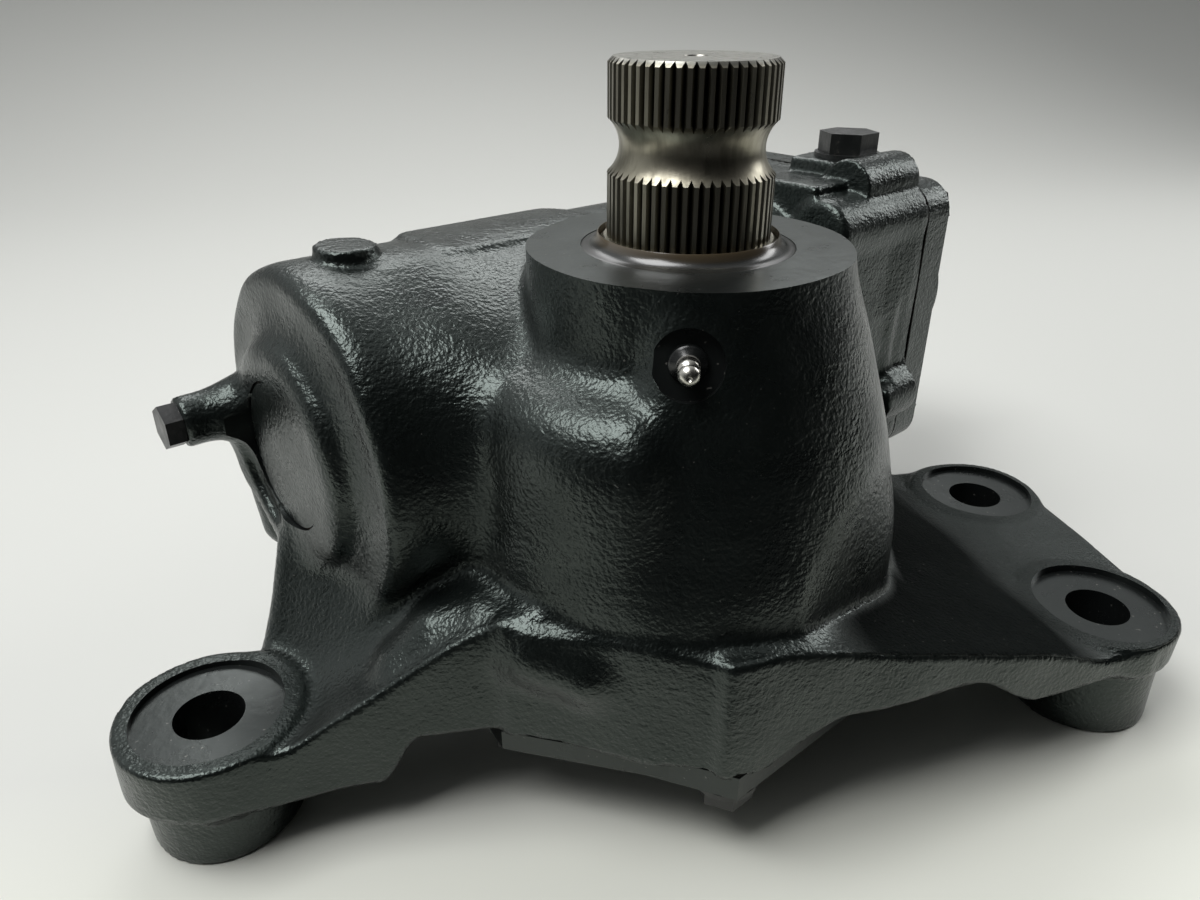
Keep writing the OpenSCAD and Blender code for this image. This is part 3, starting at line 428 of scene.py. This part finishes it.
def casting(x, y, h):
    """Distance field of the whole casting before machining, negative inside, with the mould's faint waves."""
    gx, gy = x * TURN_COS + y * TURN_SIN, -x * TURN_SIN + y * TURN_COS
    body = melt(cylinder_body(gx, gy, h), drum_body(x, y, gx, gy, h), 18)
    body = melt(body, valve_flange(gx, gy, h), 6)
    body = melt(body, cover_flange(x, y, h), 6)
    body = melt(body, melt(left_arm(x, y, h), foot_ears(x, y, h), 3), 6)
    body = melt(body, right_arm(x, y, h), 5)
    body = melt(body, back_arm(x, y, h), 8)
    waves = np.sin(0.13 * x + 1.0) * np.sin(0.11 * y + 0.4) * np.sin(0.12 * h + 2.0)
    return body + 0.35 * waves


def slope_of(field, points, step):
    """Unit slope of a field and its value at points, by central differences."""
    slope = np.stack([
        field(*(points + step * e).T) - field(*(points - step * e).T) for e in np.eye(3)], -1) / (2 * step)
    size = np.linalg.norm(slope, axis=1, keepdims=True)
    return slope / np.maximum(size, 1e-6), field(*points.T) / np.maximum(size[:, 0], 0.2)


def skin(field, low, high, cell):
    """Closed quad mesh of a field's zero surface: one vertex in each grid cell that the surface crosses, at
    the mean of the crossings on the cell's edges, then moved onto the surface along the field's slope. The
    field is worked out only in blocks of 4 x 4 x 4 cells that lie near the surface."""
    coarse = 4 * cell
    blocks = np.ceil((np.array(high) - np.array(low)) / coarse).astype(int)
    shape = blocks * 4 + 1
    axes = [low[i] + cell * np.arange(shape[i]) for i in range(3)]
    middles = [low[i] + coarse * (np.arange(blocks[i]) + 0.5) for i in range(3)]
    near = np.abs(field(*[m.ravel() for m in np.meshgrid(*middles, indexing="ij")])) < 1.7 * coarse
    keep = np.zeros(shape, bool)
    for i, j, k in np.argwhere(near.reshape(blocks)):
        keep[4 * i:4 * i + 5, 4 * j:4 * j + 5, 4 * k:4 * k + 5] = True
    at = np.argwhere(keep)
    value = np.full(shape, 1.0)
    value[keep] = field(axes[0][at[:, 0]], axes[1][at[:, 1]], axes[2][at[:, 2]])
    inside = value < 0
    corner = np.stack(np.meshgrid([0, 1], [0, 1], [0, 1], indexing="ij"), -1).reshape(8, 3)
    cut = [s - 1 for s in shape]
    windows = [tuple(slice(c[i], c[i] + cut[i]) for i in range(3)) for c in corner]
    signs = sum(inside[window].astype(np.int8) for window in windows)
    crossed = (signs > 0) & (signs < 8) & np.logical_and.reduce([keep[window] for window in windows])
    cells = np.argwhere(crossed)
    number = np.full(cut, -1, np.int64)
    number[crossed] = np.arange(len(cells))
    total, count = np.zeros((len(cells), 3)), np.zeros(len(cells))
    for a in range(8):
        for b in range(a + 1, 8):
            if np.abs(corner[a] - corner[b]).sum() != 1:
                continue
            va, vb = value[tuple((cells + corner[a]).T)], value[tuple((cells + corner[b]).T)]
            hit = (va < 0) != (vb < 0)
            t = np.where(hit, va / np.where(hit, va - vb, 1), 0)
            total += hit[:, None] * (corner[a] + t[:, None] * (corner[b] - corner[a]))
            count += hit
    points = np.array(low) + cell * (cells + total / count[:, None])
    for _ in range(2):
        slope, gap = slope_of(field, points, 0.25 * cell)
        points -= np.clip(gap, -0.5 * cell, 0.5 * cell)[:, None] * slope
    quads = []
    for axis in range(3):
        ahead = [slice(None)] * 3
        back = [slice(None)] * 3
        ahead[axis], back[axis] = slice(1, None), slice(None, -1)
        flips = inside[tuple(back)] != inside[tuple(ahead)]
        edge = np.argwhere(flips & keep[tuple(back)] & keep[tuple(ahead)])
        u, v = (axis + 1) % 3, (axis + 2) % 3
        du, dv = np.eye(3, dtype=int)[u], np.eye(3, dtype=int)[v]
        ring = [edge - du - dv, edge - dv, edge, edge - du]
        good = np.all([(r >= 0).all(1) & (r < cut).all(1) for r in ring], 0)
        ring = np.stack([number[tuple(np.clip(r[good], 0, np.array(cut) - 1).T)] for r in ring], 1)
        outward = inside[tuple(edge[good].T)]
        quads.append(np.where(outward[:, None], ring, ring[:, ::-1]))
    quads = np.concatenate(quads)
    return points, quads[(quads >= 0).all(1)]


def metres(points):
    """Millimetres above the mounting plane to metres in the frame."""
    return (points - (0, 0, TRUNNION_HEIGHT)) / 1000


def millimetres(points):
    """Metres in the frame to millimetres above the mounting plane."""
    return points * 1000 + (0, 0, TRUNNION_HEIGHT)


points, quads = skin(casting, (-194, -94, -4), (188, 212, 188), 1.9)
housing = add_piece("cast_housing", mesh_of("cast_housing", metres(points), quads.tolist()))


def spokes(axis, sides):
    """Unit axis, and unit spokes at equal turns round it."""
    axis = np.array(axis, float) / np.linalg.norm(axis)
    side = np.cross(axis, (0, 0, 1.0) if abs(axis[2]) < 0.9 else (1.0, 0, 0))
    side /= np.linalg.norm(side)
    turn = np.linspace(0, 2 * np.pi, sides, endpoint=False)
    return axis, np.cos(turn)[:, None] * side + np.sin(turn)[:, None] * np.cross(axis, side)


def capped(levels, sides):
    """Faces of a stack of rings: quads between neighbours and one face at either end."""
    index = np.arange(levels * sides).reshape(levels, sides)
    ahead = np.roll(index, -1, axis=1)
    quads = np.stack([index[:-1], ahead[:-1], ahead[1:], index[1:]], -1).reshape(-1, 4).tolist()
    return quads + [index[0, ::-1].tolist(), index[-1].tolist()]


def lathe_tool(place, axis, steps, sides=96):
    """Closed turned solid: steps of (distance along the axis, radius) spun about the axis through place."""
    axis, spoke = spokes(axis, sides)
    steps = np.array(steps, float)
    rings = np.array(place) + steps[:, :1, None] * axis + steps[:, 1:, None] * spoke
    return rings.reshape(-1, 3), capped(len(steps), sides)


def machine(piece, name, tools):
    """Cuts a group of separate turned tools out of a piece."""
    points, faces, start = [], [], 0
    for tool_points, tool_faces in tools:
        points.append(tool_points)
        faces += [[start + i for i in face] for face in tool_faces]
        start += len(tool_points)
    cutter = add_piece(name, mesh_of(name, metres(np.concatenate(points)), faces))
    cut = piece.modifiers.new(name, "BOOLEAN")
    cut.operation, cut.solver, cut.object = "DIFFERENCE", "MANIFOLD", cutter
    finished = bpy.data.meshes.new_from_object(piece.evaluated_get(bpy.context.evaluated_depsgraph_get()))
    piece.modifiers.remove(cut)
    piece.data = finished
    bpy.data.objects.remove(cutter)


SHAFT_UP, CYLINDER_AXIS = (0, 0, 1), (TURN_COS, TURN_SIN, 0)
CHAMBER_RADIUS, CHAMBER_TOP, SEAL_BORE = 58.5, 139.0, 33.1
END_MOUTH, END_SEAT, PISTON_BORE, PISTON_LIMIT = 26.3, 30.1, 50.2, -97.0
FOOT_HOLE, SPOT_FACE, SPOT_LEVEL = 11.0, 23.5, 40.0
BOLT_HOLE, COVER_BOLT_REACH = 6.1, 71.25
FITTING_DOWN, FITTING_TURN, FITTING_TILT = 19.0, np.radians(-104), np.radians(15)
axis_point = np.array([*gear_place(0, CYLINDER_BEHIND), CYLINDER_HEIGHT])
stop_point = np.array([*gear_place(0, CYLINDER_BEHIND + STOP_BEHIND), CYLINDER_HEIGHT + STOP_UP])
plug_point = np.array([*gear_place(VALVE_JOINT - 16, CYLINDER_BEHIND - PLUG_ASIDE), PLUG_TOP])
fitting_level = np.array([np.cos(FITTING_TURN), np.sin(FITTING_TURN), 0])
fitting_out = fitting_level * np.cos(FITTING_TILT) + (0, 0, np.sin(FITTING_TILT))
fitting_reach = TRUNNION_RADIUS + FITTING_DOWN * 0.4 - 3.5
fitting_root = fitting_reach * fitting_level + (0, 0, TRUNNION_HEIGHT - FITTING_DOWN)
machine(housing, "faces", [
    lathe_tool((0, 0, 0), SHAFT_UP, [(TRUNNION_HEIGHT, 80), (TRUNNION_HEIGHT + 9, 80)]),
    lathe_tool((0, 0, 0), SHAFT_UP, [(20, FLANGE_RADIUS - 0.5), (COVER_JOINT, FLANGE_RADIUS - 0.5)], sides=6),
    lathe_tool(axis_point, CYLINDER_AXIS, [(VALVE_JOINT, 94), (VALVE_JOINT + 9, 94)]),
    *(lathe_tool((*centre, 0), SHAFT_UP, [(-9, 34), (0, 34)]) for centre in FOOT_CENTRES)])
machine(housing, "shaft_bore", [lathe_tool((0, 0, 0), SHAFT_UP, [
    (30, CHAMBER_RADIUS), (CHAMBER_TOP, CHAMBER_RADIUS), (CHAMBER_TOP, SEAL_BORE),
    (TRUNNION_HEIGHT + 5, SEAL_BORE)])])
machine(housing, "cylinder_bore", [lathe_tool(axis_point, CYLINDER_AXIS, [
    (-CLOSED_END - 9, END_MOUTH), (-CLOSED_END + 1.5, END_MOUTH), (-CLOSED_END + 1.5, END_SEAT),
    (PISTON_LIMIT, END_SEAT), (PISTON_LIMIT, PISTON_BORE), (VALVE_JOINT + 5, PISTON_BORE)])])
machine(housing, "stop_hole", [
    lathe_tool(stop_point, CYLINDER_AXIS, [(-CLOSED_END - 30, 4.1), (-90, 4.1)], 32)])
machine(housing, "foot_holes", [
    lathe_tool((*centre, 0), SHAFT_UP, [
        (-9, FOOT_HOLE), (SPOT_LEVEL, FOOT_HOLE), (SPOT_LEVEL, SPOT_FACE), (62, SPOT_FACE)])
    for centre in FOOT_CENTRES])
machine(housing, "plug_hole", [lathe_tool(plug_point, SHAFT_UP, [(-13, 9.1), (4, 9.1)], 48)])
machine(housing, "fitting_recess", [
    lathe_tool(fitting_root, fitting_out, [(-1.8, 3.2), (-1.2, 10.0), (12, 10.0)], 64)])
machine(housing, "cover_bolt_holes", [
    lathe_tool((COVER_BOLT_REACH * np.cos(turn), COVER_BOLT_REACH * np.sin(turn), 0), SHAFT_UP,
               [(30, BOLT_HOLE), (50, BOLT_HOLE)], 32)
    for turn in np.radians(-90 + 60 * np.arange(6))])
machine(housing, "valve_bolt_holes", [
    lathe_tool((*gear_place(0, CYLINDER_BEHIND + side), CYLINDER_HEIGHT + level), CYLINDER_AXIS,
               [(136, BOLT_HOLE), (170, BOLT_HOLE)], 32)
    for side in (-VALVE_BOLT, VALVE_BOLT) for level in (-VALVE_BOLT, VALVE_BOLT)])
mesh = housing.data
mesh.polygons.foreach_set("use_smooth", [True] * len(mesh.polygons))
mesh.set_sharp_from_angle(angle=np.radians(38))
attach(housing, "casing")
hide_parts("gear_housing")


def noise(place, scale, detail=3.0, rough=0.55):
    """Cloudy noise in space, from 0 to 1."""
    node = node_beside(place, "ShaderNodeTexNoise")
    node.inputs["Scale"].default_value = scale
    node.inputs["Detail"].default_value = detail
    node.inputs["Roughness"].default_value = rough
    feed(place, node.inputs["Vector"])
    return node.outputs["Fac"]


def dent(height, distance, strength=1.0, under=None):
    """Bump of a height field, laid over another bump where one is given."""
    node = node_beside(height, "ShaderNodeBump")
    node.inputs["Strength"].default_value = strength
    node.inputs["Distance"].default_value = distance
    feed(height, node.inputs["Height"])
    if under is not None:
        feed(under, node.inputs["Normal"])
    return node.outputs["Normal"]


def coat(paint, *names):
    """Gives a material to every slot of the named CAD nodes."""
    for name in names:
        for slot in bpy.data.objects[name].material_slots:
            slot.material = paint


def read(items, name, width, kind=float):
    """Values of a mesh's items, one row of the given width for each."""
    values = np.empty(width * len(items), kind)
    items.foreach_get(name, values)
    return values.reshape(-1, width)


# Its paint: thick greenish-black gloss over sand-cast grain with specks of dust, left rough and dead in the
# pocket of the right web, and smoother where the iron was machined first.
PAINT_IOR = 1.6
cast_paint, shader, place = start_material("cast_paint")
shader.inputs["IOR"].default_value = PAINT_IOR
shader.inputs["Specular Tint"].default_value = (0.86, 1.0, 0.94, 1)
axes = axes_of(place)
web_side = spread(axes["X"], 0.028, 0.045, 0, 1)
web_face = spread(axes_of(place.node.outputs["Normal"])["Z"], 0.75, 0.92, 0, 1)
web_height = combine(
    "MULTIPLY", spread(axes["Z"], -0.137, -0.129, 0, 1), spread(axes["Z"], -0.1, -0.09, 1, 0))
pocket = combine("MULTIPLY", combine("MULTIPLY", web_side, web_face), web_height)
colour = tint(noise(place, 24), (0.0028, 0.0038, 0.0036), (0.0065, 0.0085, 0.0080))
flecks = spread(noise(place, 900, 1), 0.745, 0.80, 0, 0.4)
feed(tint(flecks, colour, (0.20, 0.20, 0.18)), shader.inputs["Base Color"])
gloss = spread(noise(place, 60), 0.35, 0.7, 0.24, 0.36)
feed(combine("ADD", spread(pocket, 0, 1, 0, 0.45), gloss), shader.inputs["Roughness"])
feed(spread(pocket, 0, 1, 0.5, 0.04), shader.inputs["Specular IOR Level"])
grain = dent(noise(place, 800, 1.5), 0.0006, 0.55)
grain = dent(noise(place, 330, 1), 0.0008, 0.34, grain)
sand = dent(combine("MULTIPLY", pocket, noise(place, 700, 3, 0.7)), 0.0022, 1.0, grain)
feed(sand, shader.inputs["Normal"])

machined_paint, shader, place = start_material("machined_paint")
shader.inputs["IOR"].default_value = PAINT_IOR
shader.inputs["Specular Tint"].default_value = (0.9, 1.0, 0.96, 1)
colour = tint(noise(place, 40), (0.004, 0.005, 0.005), (0.010, 0.011, 0.011))
flecks = spread(noise(place, 700, 1), 0.72, 0.78, 0, 0.5)
feed(tint(flecks, colour, (0.25, 0.24, 0.22)), shader.inputs["Base Color"])
feed(spread(noise(place, 90), 0.35, 0.7, 0.27, 0.31), shader.inputs["Roughness"])
feed(spread(axes_of(place)["Z"], -0.003, -0.001, 0.5, 1.0), shader.inputs["Specular IOR Level"])
feed(dent(noise(place, 300, 2), 0.0002, 0.4), shader.inputs["Normal"])

mesh.materials.clear()
mesh.materials.append(cast_paint)
mesh.materials.append(machined_paint)
machined = casting(*millimetres(read(mesh.polygons, "center", 3)).T) < -0.45
mesh.polygons.foreach_set("material_index", machined.astype(np.int32))
cast_normals = slope_of(casting, millimetres(read(mesh.vertices, "co", 3)), 0.5)[0]
corner_machined = np.repeat(machined, read(mesh.polygons, "loop_total", 1, np.int32)[:, 0])
corner_vertex = read(mesh.loops, "vertex_index", 1, np.int32)[:, 0]
machined_normals = read(mesh.corner_normals, "vector", 3)
normals = np.where(corner_machined[:, None], machined_normals, cast_normals[corner_vertex])
mesh.normals_split_custom_set(normals.tolist())
coat(cast_paint, "valve_housing", "end_cover")

# Side cover. A plate bolted under the flange. Its edge follows the flange's outline, also under the wedge on
# the left, a hair inside it, so the joint shows as a dark line above it.
COVER_OUTLINE = np.array([
    (0, -81.4), (69.5, -42.5), (72.7, 0), (72.7, 42), (0, 84), (-72.7, 42), (-72.7, -42), (-69.3, -51.0)])
COVER_LEVELS = ((26.3, 0.980), (27.4, 0.990), (34.6, 0.990), (35.2, 0.984))
rings = [np.c_[COVER_OUTLINE * share, np.full(len(COVER_OUTLINE), level)] for level, share in COVER_LEVELS]
cover_faces = capped(len(COVER_LEVELS), len(COVER_OUTLINE))
cover_edge = add_piece("cover_edge", mesh_of("cover_edge", metres(np.concatenate(rings)), cover_faces))
cover_edge.data.materials.append(machined_paint)
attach(cover_edge, "casing")
coat(machined_paint, "side_cover")

# Dust lip and grease fitting. The lip is one soft flare of glossy black rubber from the trunnion face up to
# the shaft, coloured brown towards the shaft as a painted highlight. The fitting is a small bright nipple
# with a waist, screwed level into a painted base in its recess.
LIP_LOOP = (
    (-4.6, 33.0), (-0.25, 33.0), (-0.05, 32.6), (0.05, 31.6), (0.3, 30.6), (0.9, 29.6), (1.8, 28.8),
    (2.8, 28.25), (3.6, 28.0), (3.9, 27.8), (3.9, 27.65), (-4.6, 27.65))
NIPPLE_LOOP = (
    (-6.0, 0.02), (-6.0, 3.1), (-2.6, 3.1), (-2.6, 5.4), (0.0, 5.4), (0.5, 4.9), (1.2, 3.4), (1.5, 3.2),
    (4.6, 3.2), (5.2, 2.9), (5.9, 2.15), (6.9, 2.1), (7.6, 2.7), (8.3, 3.0), (9.0, 2.9), (9.9, 2.2),
    (10.6, 1.3), (10.7, 0.9), (10.2, 0.5), (10.1, 0.02))


def turned(name, place, axis, loop, sides):
    """Closed ring or knob: a closed loop of (distance along the axis, radius) spun about the axis."""
    axis, spoke = spokes(axis, sides)
    loop = np.array(loop, float)
    rings = np.array(place) + loop[None, :, :1] * axis + loop[None, :, 1:] * spoke[:, None]
    piece = add_piece(name, sheet_mesh(name, metres(rings), closed=True))
    piece.data.set_sharp_from_angle(angle=np.radians(40))
    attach(piece, "casing")
    return piece


def lengthwise(vector, scale, offset=(0.0, 0.0, 0.0)):
    """Length of a place vector after each axis is scaled and shifted."""
    node = node_beside(vector, "ShaderNodeVectorMath", "MULTIPLY_ADD")
    feed(vector, node.inputs[0])
    node.inputs[1].default_value, node.inputs[2].default_value = scale, offset
    size = node_beside(vector, "ShaderNodeVectorMath", "LENGTH")
    feed(node.outputs["Vector"], size.inputs[0])
    return size.outputs["Value"]


seal_lip = turned("dust_lip", (0, 0, TRUNNION_HEIGHT), SHAFT_UP, LIP_LOOP, 128)
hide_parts("dust_seal")
lip_rubber, shader, place = start_material("lip_rubber")
radius = lengthwise(place, (1, 1, 0))
rubber = tint(noise(place, 260, 3), (0.007, 0.008, 0.007), (0.016, 0.016, 0.014))
# Towards the shaft the rubber is coloured brown: a painted highlight, the bronze sheen of the glossy lip.
lip_painted_highlight = spread(radius, 0.0276, 0.0292, 1, 0)
feed(tint(lip_painted_highlight, rubber, (0.10, 0.075, 0.045)), shader.inputs["Base Color"])
feed(spread(radius, 0.0285, 0.0315, 0.2, 0.32), shader.inputs["Roughness"])
feed(spread(radius, 0.0285, 0.032, 1.0, 0.6), shader.inputs["Specular IOR Level"])
seal_lip.data.materials.append(lip_rubber)

nipple_out = fitting_level + (0, 0, 0.05)
nipple = turned("grease_nipple", fitting_root, nipple_out, NIPPLE_LOOP, 48)
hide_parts("grease_fitting")
nipple_steel, shader, place = start_material("nipple_steel")
root_along = float(metres(fitting_root) @ nipple_out)
clean = spread(along_axis(place, tuple(nipple_out)), root_along + 0.0012, root_along + 0.0022, 0, 1)
feed(tint(clean, (0.008, 0.009, 0.009), (0.62, 0.60, 0.55)), shader.inputs["Base Color"])
feed(clean, shader.inputs["Metallic"])
feed(spread(noise(place, 700, 3), 0.3, 0.7, 0.15, 0.32), shader.inputs["Roughness"])
nipple.data.materials.append(nipple_steel)

# Output shaft. Rolled steel, browned by oil in streaks. The serrations are coloured almost black in the
# grooves between their teeth, and the waist between their two bands and the end face keep a bright steel
# colour.
WAIST_UP, SHAFT_END = 0.0293, 0.0533
shaft_steel, shader, place = start_material("shaft_steel")
waist = spread(lengthwise(place, (0, 0, 1), (0, 0, -WAIST_UP)), 0.0066, 0.0082, 1, 0)
top = spread(lengthwise(place, (0, 0, 1), (0, 0, -SHAFT_END)), 0.0003, 0.0012, 1, 0)
tooth = spread(lengthwise(place, (1, 1, 0)), 0.0236, 0.0247, 0, 1)
streak = node_beside(place, "ShaderNodeMapping")
streak.inputs["Scale"].default_value = (1, 1, 0.12)
feed(place, streak.inputs["Vector"])
smear = noise(streak.outputs["Vector"], 260, 3)
colour = tint(tooth, (0.016, 0.014, 0.010), (0.30, 0.285, 0.23))
colour = tint(waist, colour, (0.33, 0.31, 0.245))
colour = tint(top, colour, (0.29, 0.288, 0.258))
colour = tint(spread(smear, 0.45, 0.75, 0, 0.55), colour, (0.05, 0.042, 0.03))
feed(colour, shader.inputs["Base Color"])
shader.inputs["Metallic"].default_value = 1.0
feed(spread(smear, 0.3, 0.7, 0.26, 0.42), shader.inputs["Roughness"])
feed(dent(noise(place, 900, 2), 0.00006, 0.4), shader.inputs["Normal"])
coat(shaft_steel, "sector_shaft")

# Input shaft, screw, bearings and piston. Ground steel at the input, the ball screw and the adjuster, bright
# bearing steel in the rings and balls, and grey iron for the rack piston and its ring.


def bare_metal(name, scale, detail, dark, light, smooth, rough):
    """Metal whose colour and roughness follow one smear."""
    metal, shader, place = start_material(name)
    smear = noise(place, scale, detail)
    feed(tint(smear, dark, light), shader.inputs["Base Color"])
    shader.inputs["Metallic"].default_value = 1.0
    feed(spread(smear, 0.3, 0.7, smooth, rough), shader.inputs["Roughness"])
    return metal


input_steel = bare_metal("input_steel", 140, 4, (0.16, 0.15, 0.13), (0.36, 0.35, 0.32), 0.24, 0.42)
bright_steel = bare_metal("bright_steel", 300, 3, (0.50, 0.49, 0.46), (0.68, 0.67, 0.63), 0.16, 0.30)
piston_iron = bare_metal("piston_iron", 180, 4, (0.16, 0.16, 0.16), (0.27, 0.27, 0.26), 0.32, 0.5)
coat(input_steel, "input_shaft", "worm_shaft", "valve_sleeve", "torsion_bar", "adjuster_screw",
     "adjuster_lock_nut")
coat(bright_steel, "cover_bearing", "trunnion_bearing", "worm_bearing", "input_bearing",
     "recirculating_balls", "ball_return_guide")
coat(piston_iron, "rack_piston", "piston_ring")

# Seals and gaskets. Black rubber, oily and slightly pebbled, in the shaft seals and the input cap, and dull
# fibre sheet between the castings.
seal_rubber, shader, place = start_material("seal_rubber")
smear = noise(place, 220, 3)
feed(tint(smear, (0.007, 0.007, 0.006), (0.020, 0.018, 0.015)), shader.inputs["Base Color"])
feed(spread(smear, 0.3, 0.7, 0.18, 0.34), shader.inputs["Roughness"])
feed(dent(noise(place, 420, 2), 0.0002, 0.3), shader.inputs["Normal"])
coat(seal_rubber, "output_seal", "input_seal", "input_dust_cap")

gasket_fibre, shader, place = start_material("gasket_fibre")
feed(tint(noise(place, 900, 3), (0.003, 0.003, 0.003), (0.010, 0.009, 0.007)), shader.inputs["Base Color"])
shader.inputs["Roughness"].default_value = 0.9
shader.inputs["Specular IOR Level"].default_value = 0.1
coat(gasket_fibre, "side_cover_gasket", "valve_housing_gasket")

# Retaining ring and fasteners. The spring ring in the closed end has lost its paint and bloomed with rust.
# The screws and plugs are painted over with the casting and scuffed by spanners.
rusty_steel, shader, place = start_material("rusty_steel")
bloom = spread(noise(place, 160, 4, 0.65), 0.42, 0.62, 0, 1)
feed(tint(bloom, (0.03, 0.027, 0.024), (0.16, 0.058, 0.022)), shader.inputs["Base Color"])
feed(spread(bloom, 0, 1, 0.45, 0.85), shader.inputs["Roughness"])
coat(rusty_steel, "end_retaining_ring")

fastener_paint, shader, place = start_material("fastener_paint")
shader.inputs["IOR"].default_value = 1.55
scuff = spread(noise(place, 240, 5, 0.7), 0.60, 0.70, 0, 0.7)
colour = tint(noise(place, 70), (0.006, 0.007, 0.007), (0.014, 0.015, 0.015))
feed(tint(scuff, colour, (0.075, 0.07, 0.062)), shader.inputs["Base Color"])
feed(spread(noise(place, 150), 0.35, 0.7, 0.28, 0.45), shader.inputs["Roughness"])
feed(dent(noise(place, 500, 2), 0.0003, 0.4), shader.inputs["Normal"])
coat(fastener_paint, "stop_screw", "side_cover_bolts", "port_plug", "valve_housing_bolts", "relief_plug")
